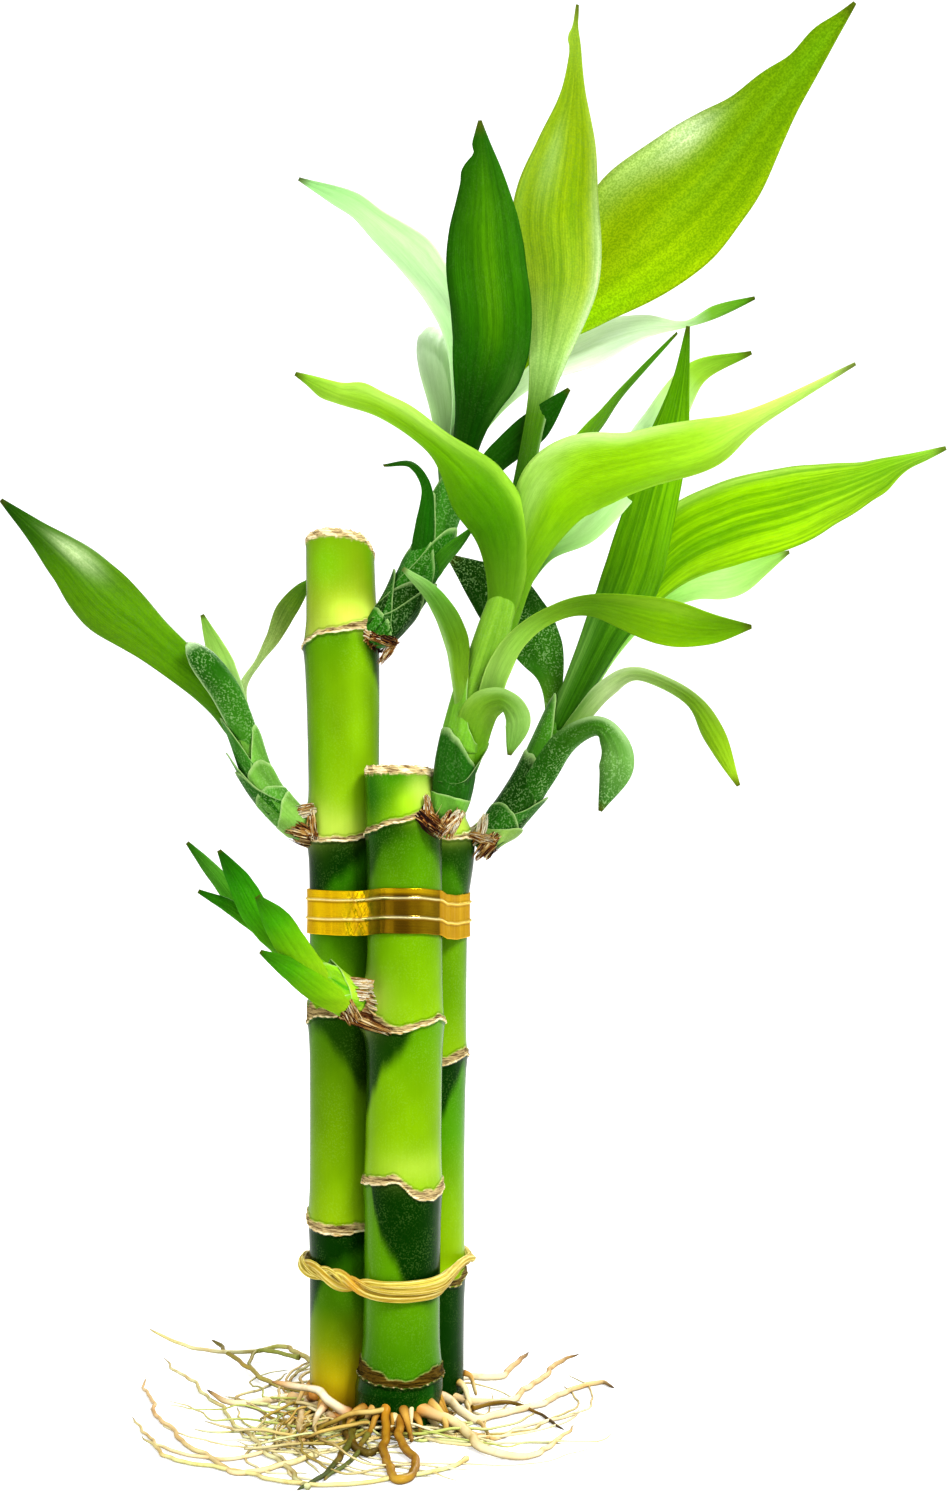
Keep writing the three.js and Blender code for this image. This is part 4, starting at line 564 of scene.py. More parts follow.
def smooth(low, high, x):
    """0 below low and 1 above high, with a soft S between them."""
    s = np.clip((x - low) / (high - low), 0, 1)
    return s * s * (3 - 2 * s)


def bell(x, wide):
    """1 where x is 0, falling off on both sides as exp of minus (x / wide) squared."""
    return np.exp(-(x / wide) ** 2)


def spot(x, wide_x, y, wide_y):
    """The same falling off in two directions."""
    return np.exp(-(x / wide_x) ** 2 - (y / wide_y) ** 2)


RIPPLE_WAVES = (1.0, 2.3, 4.1)


def ripple(x, seed):
    """A smooth seeded wander of x between about -1 and 1: a sum of sines, each wave with its own
    seeded phase and a height of 1 / wave."""
    phases = np.random.default_rng(seed).uniform(0, 2 * math.pi, len(RIPPLE_WAVES))
    total = sum(np.sin(w * x + phase) / w for w, phase in zip(RIPPLE_WAVES, phases))
    return total / sum(1 / w for w in RIPPLE_WAVES)


def circle(count):
    """Evenly spaced angles, once round."""
    return np.linspace(0, 2 * np.pi, count, endpoint=False)


def cross_ways(run):
    """Two directions across a curve that runs along run: its side is +Y crossed with the run, and
    its face is the run crossed with the side."""
    side = unit(np.cross(np.array([0.0, 1.0, 0.0]), run))
    return side, np.cross(run, side)


def round_way(side, up, angle):
    """The direction at an angle round a curve: side cos a + up sin a."""
    return side * np.cos(angle)[..., None] + up * np.sin(angle)[..., None]


def pair(u, v):
    """A (u, v) for each point of a grid, from arrays that broadcast to it."""
    return np.stack(np.broadcast_arrays(u, v), axis=-1)


def there_and_back(outer, inner):
    """Each row goes along the outer side of a wall and comes back along its inner side."""
    return np.concatenate([outer, inner[:, ::-1]], axis=1)


# ---- Meshes ----
def grid_faces(rows, columns, wrap):
    """The quads of a grid of rows by columns of points, joined round when it wraps."""
    i = np.arange(rows - 1)[:, None]
    j = np.arange(columns if wrap else columns - 1)[None, :]
    k = (j + 1) % columns
    quads = np.stack([i * columns + j, i * columns + k, (i + 1) * columns + k, (i + 1) * columns + j],
                     axis=-1)
    return quads.reshape(-1, 4)


def tube_faces(rows, columns):
    """The quads of a tube, with both ends closed strip by strip across their loops."""
    j = np.arange(columns // 2 - 1)
    low = np.stack([j + 1, j, columns - 1 - j, columns - 2 - j], axis=-1)
    high = low[:, ::-1] + (rows - 1) * columns
    return np.vstack([grid_faces(rows, columns, True), low, high])


def shell_faces(around, columns):
    """The quads of a shell whose rows and columns both close on themselves."""
    return grid_faces(around + 1, columns, True) % (around * columns)


def build(name, points, faces, tint, material, nodes, place=None, extra=None):
    """A mesh object at the origin from points in mm, quads that face outwards, and a colour, a
    (u, v) place and more named values for each point. It stands for the nodes' solids."""
    mesh = bpy.data.meshes.new(name)
    points = points.reshape(-1, 3) * MM
    faces = faces.astype(np.int32)
    mesh.vertices.add(len(points))
    mesh.vertices.foreach_set("co", points.ravel())
    mesh.loops.add(faces.size)
    mesh.loops.foreach_set("vertex_index", faces.ravel())
    mesh.polygons.add(len(faces))
    mesh.polygons.foreach_set("loop_start", np.arange(0, faces.size, 4, dtype=np.int32))
    mesh.polygons.foreach_set("loop_total", np.full(len(faces), 4, np.int32))
    mesh.update(calc_edges=True)
    mesh.validate()
    colour = mesh.color_attributes.new("tint", "FLOAT_COLOR", "POINT")
    rgba = np.ones((len(points), 4))
    rgba[:, :3] = np.clip(tint, 0, 1).reshape(-1, 3)
    colour.data.foreach_set("color", rgba.ravel())
    corners = np.empty(len(mesh.loops), np.int32)
    mesh.loops.foreach_get("vertex_index", corners)
    if place is not None:
        layer = mesh.uv_layers.new(name="UVMap")
        layer.data.foreach_set("uv", place.reshape(-1, 2)[corners].ravel())
    for key, values in (extra or {}).items():
        layer = mesh.attributes.new(key, "FLOAT", "POINT")
        layer.data.foreach_set("value", values)
    mesh.shade_smooth()
    obj = bpy.data.objects.new(name, mesh)
    bpy.context.collection.objects.link(obj)
    mesh.materials.append(material)
    face_outwards(mesh, points[corners.reshape(-1, 4)])
    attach(obj, "root")
    if nodes:
        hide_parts(*nodes)


def face_outwards(mesh, p):
    """Turns the faces round when the signed volume of the closed mesh is negative; p holds the four
    corners of each quad."""
    volume = sum(np.einsum("ij,ij->i", p[:, 0], np.cross(p[:, k], p[:, k + 1])).sum() for k in (1, 2))
    if volume < 0:
        mesh.flip_normals()


class Gathered:
    """Grids of points that become one mesh, each with its quads, colours and (u, v) places."""

    def __init__(self):
        """Starts empty."""
        self.points, self.faces, self.tints, self.places, self.count = [], [], [], [], 0

    def add(self, points, faces, tint, place=None):
        """Takes in one grid, whose quads count its own points from 0."""
        self.points.append(points.reshape(-1, 3))
        self.tints.append(tint.reshape(-1, 3))
        self.faces.append(faces + self.count)
        self.count += len(self.points[-1])
        if place is not None:
            self.places.append(place.reshape(-1, 2))

    def build(self, name, material, nodes, slot):
        """Makes the mesh object."""
        build(name, np.vstack(self.points), np.vstack(self.faces), np.vstack(self.tints), material,
              nodes, np.vstack(self.places) if self.places else None)


# ---- Shader node groups ----
def feed(tree, socket, value):
    """Links a socket to a socket or sets it to a plain value; a colour's alpha may be left out."""
    if isinstance(value, bpy.types.NodeSocket):
        tree.links.new(value, socket)
    elif socket.type == "RGBA" and len(value) == 3:
        socket.default_value = (*value, 1.0)
    else:
        socket.default_value = value


def add_node(tree, kind, inputs, **settings):
    """A new node with its settings, and its inputs fed by name or number."""
    node = tree.nodes.new(kind)
    for key, value in settings.items():
        setattr(node, key, value)
    for key, value in inputs.items():
        feed(tree, node.inputs[key], value)
    return node


def node_group(name, inputs, outputs):
    """An empty shader node group: inputs are numbers with their values, and outputs are names.
    Gives the group, the sockets that come in and the node that takes what goes out."""
    group = bpy.data.node_groups.new(name, "ShaderNodeTree")
    for label, value in inputs.items():
        socket = group.interface.new_socket(label, in_out="INPUT", socket_type="NodeSocketFloat")
        socket.default_value = value
    for label in outputs:
        group.interface.new_socket(label, in_out="OUTPUT", socket_type="NodeSocketFloat")
    return group, group.nodes.new("NodeGroupInput").outputs, group.nodes.new("NodeGroupOutput").inputs


def math_node(tree, operation, a, b=0.0):
    """A Math node over sockets or plain numbers."""
    return add_node(tree, "ShaderNodeMath", {0: a, 1: b}, operation=operation).outputs[0]


def times(tree, a, b):
    """a times b."""
    return math_node(tree, "MULTIPLY", a, b)


def plus(tree, a, b):
    """a plus b."""
    return math_node(tree, "ADD", a, b)


def noise(tree, vector, scale, detail=3.0, roughness=0.55, distortion=0.0):
    """The factor of a Noise Texture over a vector socket."""
    return add_node(tree, "ShaderNodeTexNoise", {
        "Vector": vector, "Scale": scale, "Detail": detail, "Roughness": roughness,
        "Distortion": distortion}).outputs["Fac"]


def stretched(tree, vector, scale):
    """A vector socket times (x, y, z)."""
    return add_node(tree, "ShaderNodeVectorMath", {0: vector, 1: scale}, operation="MULTIPLY").outputs[0]


def object_place(tree):
    """The place of the shaded point in the object's own space, in metres."""
    return tree.nodes.new("ShaderNodeTexCoord").outputs["Object"]


def uv_place(tree):
    """The (u, v) place of the shaded point."""
    return add_node(tree, "ShaderNodeUVMap", {}, uv_map="UVMap").outputs[0]


def mix_colour(tree, factor, a, b, blend="MIX"):
    """A colour Mix node; a, b and factor are sockets or plain values."""
    return add_node(tree, "ShaderNodeMix", {0: factor, 6: a, 7: b}, data_type="RGBA",
                    blend_type=blend).outputs[2]


def tinted(tree, colour, factors):
    """A colour times (r, g, b)."""
    return mix_colour(tree, 1.0, colour, factors, "MULTIPLY")


def shaded(tree, colour, mask, share, factors, base=None):
    """A colour taken by a mask times a share towards the base, or else itself, times (r, g, b)."""
    return mix_colour(tree, times(tree, mask, share), colour,
                      tinted(tree, colour if base is None else base, factors))


def ramp(tree, value, low, high):
    """A value mapped smoothly so that low gives 0 and high gives 1."""
    return add_node(tree, "ShaderNodeMapRange", {0: value, 1: low, 2: high},
                    interpolation_type="SMOOTHSTEP").outputs[0]


def make_vein_group():
    """Lengthwise veins: sines across the UV's u, bent by noise along the leaf. Gives the veins'
    mask, their height, and slower masks of streaks and of cells."""
    group, given, result = node_group("leaf_veins", {"Count": 60.0, "Wander": 0.4, "Bands": 16.0},
                                      ("Veins", "Height", "Streaks", "Cells"))
    uv = uv_place(group)
    parts = add_node(group, "ShaderNodeSeparateXYZ", {0: uv}).outputs
    drift = noise(group, stretched(group, uv, (5.0, 2.0, 1.0)), 1.0, 2.0)
    shifted = plus(group, times(group, parts[0], given["Count"]), times(group, drift, given["Wander"]))
    wave = math_node(group, "SINE", times(group, shifted, math.pi))
    lines = math_node(group, "POWER", math_node(group, "ABSOLUTE", wave), 6.0)
    fibre = noise(group, stretched(group, uv, (140.0, 3.0, 1.0)), 1.0)
    wide_way = add_node(group, "ShaderNodeCombineXYZ", {
        0: times(group, parts[0], given["Bands"]), 1: times(group, parts[1], 1.1)}).outputs[0]
    streak = noise(group, wide_way, 1.0, 4.0, 0.6)
    cells = noise(group, stretched(group, uv, (22.0, 26.0, 1.0)), 1.0, 6.0, 0.75, 0.3)
    feed(group, result["Veins"], lines)
    feed(group, result["Height"], plus(group, times(group, lines, 0.6), fibre))
    feed(group, result["Streaks"], ramp(group, streak, 0.38, 0.64))
    feed(group, result["Cells"], ramp(group, cells, 0.36, 0.66))
    return group


def make_fleck_group():
    """Fine pale flecks: a dense noise cut off high, in patches that a slow noise opens. Gives the
    flecks' mask and a fine grain."""
    group, given, result = node_group("flecks", {"Scale": 2600.0}, ("Flecks", "Grain"))
    place = object_place(group)
    fine = noise(group, place, given["Scale"], 1.0, 0.5)
    slow = noise(group, place, 160.0)
    feed(group, result["Flecks"], times(group, ramp(group, fine, 0.5, 0.64), ramp(group, slow, 0.3, 0.6)))
    feed(group, result["Grain"], fine)
    return group


def make_fibre_group():
    """Dry papery fibre: noise stretched round the cane and bent by its own distortion. Gives a mask
    from dark to pale and a height."""
    group, given, result = node_group("dry_fibre", {"Scale": 900.0}, ("Tone", "Height"))
    long_way = noise(group, stretched(group, object_place(group), (0.22, 0.22, 3.0)), given["Scale"],
                     5.0, 0.7, 0.4)
    feed(group, result["Tone"], ramp(group, long_way, 0.36, 0.62))
    feed(group, result["Height"], long_way)
    return group


VEINS = make_vein_group()
FLECKS = make_fleck_group()
FIBRE = make_fibre_group()


# ---- Materials ----
def new_material(name):
    """A material with its nodes: returns it, its tree and its Principled BSDF."""
    material = bpy.data.materials.new(name)
    material.use_nodes = True
    return material, material.node_tree, material.node_tree.nodes["Principled BSDF"]


def finish(tree, surface, **looks):
    """Feeds the inputs of a Principled BSDF by short names."""
    names = dict(colour="Base Color", rough="Roughness", specular="Specular IOR Level",
                 specular_tint="Specular Tint", metallic="Metallic", normal="Normal",
                 glow_colour="Emission Color", glow="Emission Strength")
    for key, value in looks.items():
        feed(tree, surface.inputs[names[key]], value)


def use_group(tree, group, **values):
    """The outputs of a node group placed in a material, with its inputs set."""
    return add_node(tree, "ShaderNodeGroup", values, node_tree=group).outputs


def attribute(tree, name, output="Fac"):
    """A named value of the mesh."""
    return add_node(tree, "ShaderNodeAttribute", {}, attribute_name=name).outputs[output]


def bump(tree, height, strength, distance):
    """A normal bent by a height; distance is in metres."""
    return add_node(tree, "ShaderNodeBump", {
        "Strength": strength, "Distance": distance, "Height": height}).outputs["Normal"]


def turned_away(tree, low, high):
    """A mask that grows where the surface turns away from the viewer."""
    weight = add_node(tree, "ShaderNodeLayerWeight", {"Blend": 0.5})
    return ramp(tree, weight.outputs["Facing"], low, high)


def leaf_material(name, veins, contrast, stripes, glow, flecks=0.0, bands=16.0, mottle=0.0, cells=0.35,
                  rough=0.42, clear=0.3):
    """Leaf tissue: the painted tone, darker between the streaks and mottled in cells, with fine veins
    in relief, pale flecks, and light that comes through the blade. clear is how much of its blue
    that light keeps."""
    material, tree, surface = new_material(name)
    tone = attribute(tree, "tint", "Color")
    pattern = use_group(tree, VEINS, Count=veins, Wander=0.6, Bands=bands)
    grain = use_group(tree, FLECKS, Scale=2600.0)
    shade = shaded(tree, tone, pattern["Veins"], contrast, (0.5, 0.68, 0.3))
    shade = shaded(tree, shade, pattern["Streaks"], stripes, (0.22, 0.42, 0.2), base=tone)
    shade = shaded(tree, shade, pattern["Cells"], cells, (0.55, 0.68, 0.45))
    if mottle:
        shade = shaded(tree, shade, ramp(tree, grain["Grain"], 0.38, 0.62), mottle, (0.45, 0.6, 0.3))
    shade = mix_colour(tree, times(tree, grain["Flecks"], flecks), shade, (0.36, 0.56, 0.24))
    finish(tree, surface, colour=shade, rough=plus(tree, times(tree, grain["Grain"], 0.2), rough - 0.1),
           specular=0.16, specular_tint=(0.6, 0.9, 0.1), normal=bump(tree, pattern["Height"], 0.25, 0.0003))
    through = add_node(tree, "ShaderNodeBsdfTranslucent", {"Color": tinted(tree, shade, (1.0, 1.0, clear))})
    both = add_node(tree, "ShaderNodeMixShader", {0: glow, 1: surface.outputs[0], 2: through.outputs[0]})
    feed(tree, tree.nodes["Material Output"].inputs["Surface"], both.outputs[0])
    return material


def cane_material():
    """Cane skin: the painted tone with faint lengthwise fibre and flecks, with painted shade towards the
    outline where it turns away from the viewer, glossy; where the scar value is high it turns to dry
    brown fibre, darker where it is burnt, and where the lip value is high to cream."""
    material, tree, surface = new_material("cane_skin")
    tone = attribute(tree, "tint", "Color")
    grain = noise(tree, stretched(tree, object_place(tree), (1.0, 1.0, 0.05)), 2400.0)
    flecks = use_group(tree, FLECKS, Scale=3000.0)
    fibre = use_group(tree, FIBRE, Scale=1500.0)
    skin = shaded(tree, tone, grain, 0.3, (0.55, 0.72, 0.45))
    skin = mix_colour(tree, times(tree, flecks["Flecks"], 0.05), skin, (0.45, 0.7, 0.2))
    # Painted shade: darker towards the outline, where the skin turns away from the viewer.
    skin = shaded(tree, skin, turned_away(tree, 0.5, 0.95), 0.7, (0.3, 0.42, 0.25))
    dry = mix_colour(tree, fibre["Tone"], paint("#4a2408"), paint("#e8d098"))
    dry = mix_colour(tree, attribute(tree, "burnt"), dry, tinted(tree, dry, (0.15, 0.11, 0.03)))
    cream = mix_colour(tree, fibre["Tone"], paint("#c09c58"), paint("#faf0cc"))
    scar, lip = attribute(tree, "scar"), attribute(tree, "lip")
    colour = mix_colour(tree, ramp(tree, lip, 0.2, 0.55), mix_colour(tree, scar, skin, dry), cream)
    dryness = math_node(tree, "MAXIMUM", scar, lip)
    relief = plus(tree, times(tree, grain, 0.1), times(tree, fibre["Height"], times(tree, dryness, 2.0)))
    finish(tree, surface, colour=colour, rough=plus(tree, times(tree, dryness, 0.5), 0.26), specular=0.2,
           specular_tint=(0.22, 0.7, 0.03), normal=bump(tree, relief, 0.4, 0.0003))
    return material


def husk_material():
    """Papery husk: the painted tone crossed by dark lines along its fibres, in relief."""
    material, tree, surface = new_material("papery_husk")
    lines = noise(tree, stretched(tree, uv_place(tree), (9.0, 1.6, 1.0)), 1.0, 5.0, 0.7, 0.6)
    tone = attribute(tree, "tint", "Color")
    colour = mix_colour(tree, ramp(tree, lines, 0.36, 0.5), tinted(tree, tone, (0.3, 0.21, 0.1)), tone)
    finish(tree, surface, colour=colour, rough=0.85, specular=0.2, normal=bump(tree, lines, 0.9, 0.0006))
    return material


def foil_material():
    """Gold foil: smooth metal with faint lines round it and soft dents."""
    material, tree, surface = new_material("gold_foil")
    uv = uv_place(tree)
    dents = noise(tree, stretched(tree, uv, (0.7, 1.2, 1.0)), 1.0, 2.0, 0.5, 0.3)
    lines = noise(tree, stretched(tree, uv, (0.25, 30.0, 1.0)), 1.0, 2.0)
    colour = shaded(tree, attribute(tree, "tint", "Color"), ramp(tree, dents, 0.4, 0.8), 0.5,
                    (0.72, 0.62, 0.4))
    relief = plus(tree, dents, times(tree, lines, 0.25))
    finish(tree, surface, colour=colour, metallic=0.75, specular_tint=(0.95, 0.75, 0.15),
           rough=plus(tree, times(tree, lines, 0.2), 0.12), normal=bump(tree, relief, 0.1, 0.0004))
    return material


def raffia_material():
    """Raffia: pale straw with long fine fibres along the strand."""
    material, tree, surface = new_material("raffia_fibre")
    fibre = noise(tree, stretched(tree, uv_place(tree), (30.0, 2.0, 1.0)), 1.0, 4.0, 0.65)
    tone = attribute(tree, "tint", "Color")
    colour = mix_colour(tree, ramp(tree, fibre, 0.38, 0.58), tinted(tree, tone, (0.7, 0.52, 0.2)), tone)
    finish(tree, surface, colour=colour, rough=0.5, specular=0.3, normal=bump(tree, fibre, 0.7, 0.0004))
    return material


def root_material():
    """Root skin: the painted tone, softly mottled, and painted brown shade where it turns away."""
    material, tree, surface = new_material("root_skin")
    mottle = noise(tree, object_place(tree), 300.0, 4.0, 0.6)
    colour = shaded(tree, attribute(tree, "tint", "Color"), ramp(tree, mottle, 0.5, 0.72), 0.5,
                    (0.7, 0.52, 0.2))
    # Painted shade: brown towards the outline, where the root turns away from the viewer.
    colour = shaded(tree, colour, turned_away(tree, 0.3, 0.9), 0.85, (0.5, 0.36, 0.12))
    finish(tree, surface, colour=colour, rough=0.4, specular=0.3, specular_tint=(0.9, 0.85, 0.5),
           normal=bump(tree, mottle, 0.25, 0.0003))
    return material


# ---- Shapes ----
ROW_STEP, RING_STEP = 1.0, 0.17  # mm between a cane's rows of points, and near a ring
FLARE, FLARE_REACH = 0.5, 3.5  # mm: how far the skin flares out towards a ring, and from how far below
LIP_RISE, LIP_WIDE = 0.36, 0.26  # mm: the thin lip at a ring's lower edge
SCAR_RISE = 0.26  # mm
SWELL, SWELL_REACH = 0.3, 3  # mm: the swelling above a scar
# The tone of the painted highlights on the canes.
HIGHLIGHT_TONE = "#d8e470"
CUT_DEPTH = 0.3  # mm: how far a cut end is hollow
# The loops of a cut end: share of the radius, tone and dryness.
CUT_END = ((0.92, "#b08448", 0.7), (0.8, "#d8c890", 0.2), (0.5, "#dcd8a0", 0.1), (0.15, "#c8b878", 0.1))


def cane_heights(top, rings):
    """The heights of a cane's rows: even ones, closer ones at each ring and close to the top."""
    heights = [np.arange(0, top + 0.01, ROW_STEP), top - np.arange(0.1, 2.6, 0.2), [top]]
    for ring in rings:
        levels = [level for _, level in ring]
        heights.append(np.arange(max(0.05, min(levels) - 2.4), max(levels) + 4.2, RING_STEP))
    z = np.unique(np.round(np.concatenate(heights), 3))
    return z[z <= top]


def cane_rings(radius, look, zz, aa, degrees, top, seed):
    """The rings on a cane: each lies at its own height h(a); with d = z - h(a), the skin flares by
    0.5 exp(d / 3.5) up to a thin lip, steps in over the scar, and swells by 0.3 exp(-d / 3) above it.
    Gives the radius, the masks of scars, lips, thin dark lines of painted shade under each lip and
    above each scar, and burnt skin, and the heights of the foot, the rings and the top."""
    scar, lip, ring_shade, burnt = (np.zeros_like(zz) for _ in range(4))
    floors = [np.zeros_like(zz)]
    for k, (ring, wide, char) in enumerate(zip(look["rings"], look["wide"], look["burnt"])):
        floors.append(round_table(ring, degrees) + 0.16 * ripple(aa * 7, seed + k)
                      + 0.1 * ripple(aa * 19, seed + k + 9))
        d = zz - floors[-1]
        wide = round_table(wide, degrees) * (1 + 0.2 * ripple(aa * 3, seed + 20 + k)
                                             + 0.1 * ripple(aa * 13, seed + 30 + k))
        rough = ripple(aa * 31 + 3 * d, seed + 40 + k)
        inside = smooth(-0.05, 0.15, d) * smooth(wide + 0.15, wide - 0.15, d)
        edge = bell(d + 0.02, LIP_WIDE)
        radius = radius + np.where(d < 0, FLARE * np.exp(np.minimum(d, 0) / FLARE_REACH), 0.0)
        radius = radius + LIP_RISE * edge * (1 + 0.25 * rough)
        radius = radius + inside * (SCAR_RISE + 0.09 * rough)
        radius = radius + np.where(d > wide, SWELL * np.exp(-np.maximum(d - wide, 0) / SWELL_REACH),
                                   SWELL * inside)
        scar = np.maximum(scar, inside)
        burnt = np.maximum(burnt, char * inside)
        lip = np.maximum(lip, edge * (1.0 - 0.75 * char + 0.3 * rough))
        lip = np.maximum(lip, 0.6 * (1 - char) * bell(d - wide - 0.05, 0.14) * (rough > 0))
        # Painted shade: a thin dark line under each lip and a fainter one above each scar.
        ring_shade = np.maximum(ring_shade, bell(d + 0.6, 0.22))
        ring_shade = np.maximum(ring_shade, 0.7 * bell(d - wide - 0.3, 0.18))
    return radius, scar, lip, ring_shade, burnt, floors + [np.full_like(zz, top)]


def cane_tint(look, zz, aa, degrees, ring_shade, floors, seed):
    """The skin's colour: each internode's tones from ring to ring, then the dark green that reaches
    down from rings, partly the skin's own and partly painted shadow, painted highlights, marks, soft
    clouds and the thin dark lines of painted shade by the rings."""
    tint = np.zeros(zz.shape + (3,))
    for k, (tones, low, high) in enumerate(zip(look["tones"], floors, floors[1:])):
        inside = (zz >= low) & ((zz < high) | (k == len(look["rings"])))
        share = np.clip((zz - low) / (high - low), 0, 1)
        tint = np.where(inside[..., None], blend_tones(tones, share), tint)
    dark = np.zeros_like(zz)
    # Dark green below the rings: partly the skin's own, partly painted shadow of shoots, leaves and the next
    # canes.
    for k, table, strength in look["patches"]:
        below = floors[k + 1] - zz
        reach = round_table(table, degrees) + 0.7 * ripple(aa * 4 + 0.2 * zz, seed + 60 + k)
        edge = smooth(-2.6, 1.8, reach - below) * smooth(0.0, 2.5, reach) * (below > 0)
        dark = np.maximum(dark, strength * edge)
    tint = toward(0.64 * tint, "#012a00", dark)
    # Painted highlights: pale spots of light, by the bosses partly the pale skin round them.
    highlight_spots = [(*glow[:4], HIGHLIGHT_TONE, glow[4]) for glow in look["highlight_spots"]]
    for at, height, wide_a, wide_z, tone, strength in highlight_spots + look["marks"]:
        tint = toward(tint, tone, strength * spot(turn_from(at, degrees), wide_a, zz - height, wide_z))
    clouds = ripple(zz * 0.16 + aa * 2.0, seed + 5) + 0.5 * ripple(zz * 0.5 - aa * 3.0, seed + 6)
    return tint * (1 + 0.07 * clouds[..., None]) * (1 - 0.55 * ring_shade[..., None])


def cut_ends(points):
    """Closes a cane's rows of points at the top and the foot by loops that shrink, the last of them
    closed strip by strip. Gives the loops, their quads, their colours and their dryness."""
    rows, around = points.shape[:2]
    i = np.arange(around)
    k = (i + 1) % around
    half = np.arange(around // 2 - 1)
    loops, faces, tints, dryness, count = [], [], [], [], rows * around
    for row in (rows - 1, 0):
        previous = row * around
        centre = points[row].mean(axis=0)
        for shrink, tone, dry in CUT_END:
            loop = centre + (points[row] - centre) * shrink
            loop[:, 2] -= CUT_DEPTH if row else 0.0
            loops.append(loop)
            strip = np.stack([previous + i, previous + k, count + k, count + i], axis=-1)
            faces.append(strip if row else strip[:, ::-1])
            tints.append(np.tile(paint(tone), (around, 1)))
            dryness.append(np.full(around, dry))
            previous, count = count, count + around
        strip = np.stack([previous + half, previous + half + 1, previous + around - 2 - half,
                          previous + around - 1 - half], axis=-1)
        faces.append(strip if row else strip[:, ::-1])
    return loops, faces, tints, dryness


def make_cane(name, spec, look, material, around=150):
    """A cane: at height z and angle a the radius is the profile's, with its rings. A boss is a rise
    times exp of minus the squared distance from its middle, in degrees and mm. The top is ragged
    and crusted, and tilts by the slope's table."""
    top, seed = spec["top"], int(10 * spec["y"]) + 3
    zz, aa = np.meshgrid(cane_heights(top, look["rings"]), circle(around), indexing="ij")
    degrees = turn_from(0, np.degrees(aa))
    radius, scar, lip, ring_shade, burnt, floors = cane_rings(
        along(spec["radius"], zz), look, zz, aa, degrees, top, seed)
    tint = cane_tint(look, zz, aa, degrees, ring_shade, floors, seed)
    for at, height, wide_a, wide_z, rise, parched in look["bosses"]:
        turn = turn_from(at, degrees)
        radius += rise * spot(turn, wide_a, zz - height, wide_z)
        near = (turn / wide_a) ** 2 + ((zz - height) / wide_z) ** 2 + 0.3 * ripple(aa * 23 + zz, seed + 11)
        dry, upper = parched * smooth(0.9, 0.5, near), smooth(-0.5, 1.5, zz - height)
        lip, scar = np.maximum(lip, dry * upper), np.maximum(scar, dry * (1 - upper))
    torn = 0.5 + 0.5 * ripple(aa * 17, seed + 7) + 0.4 * ripple(aa * 41, seed + 8)
    crust = smooth(1.7 + 0.5 * torn, 1.1 + 0.5 * torn, top - zz)
    radius += 0.16 * crust * torn - 0.5 * smooth(1.2, 0.0, top - zz) ** 2
    lip = np.maximum(lip, 0.62 * crust * smooth(-0.3, 0.3, ripple(aa * 9 + 2 * zz, seed + 12)))
    scar = np.maximum(scar, crust)
    zz = zz + smooth(0.9, 1.0, zz / top) * round_table(spec["slope"], degrees) + 0.3 * crust * torn
    x, y = along(spec["axis"], zz) + radius * np.cos(aa), spec["y"] + radius * np.sin(aa)
    points = np.stack([x, y, zz], axis=-1)
    loops, faces, tints, dryness = cut_ends(points)
    scars = np.concatenate([scar.ravel(), *dryness])
    lips, burns = (np.concatenate([np.clip(mask, 0, 1).ravel(), np.zeros(len(scars) - mask.size)])
                   for mask in (lip, burnt))
    build(name + "_skin", np.vstack([points.reshape(-1, 3), *loops]),
          np.vstack([grid_faces(*zz.shape, True), *faces]), np.vstack([tint.reshape(-1, 3), *tints]),
          material, [name], extra=dict(scar=scars, lip=lips, burnt=burns))


BLADE = 0.34  # mm: a leaf's thickness
NARROWEST = 0.12  # mm: half the width at a leaf's very tip
MARGIN_TINT = np.array([1.6, 1.35, 1.8])  # how much paler a leaf's margin is


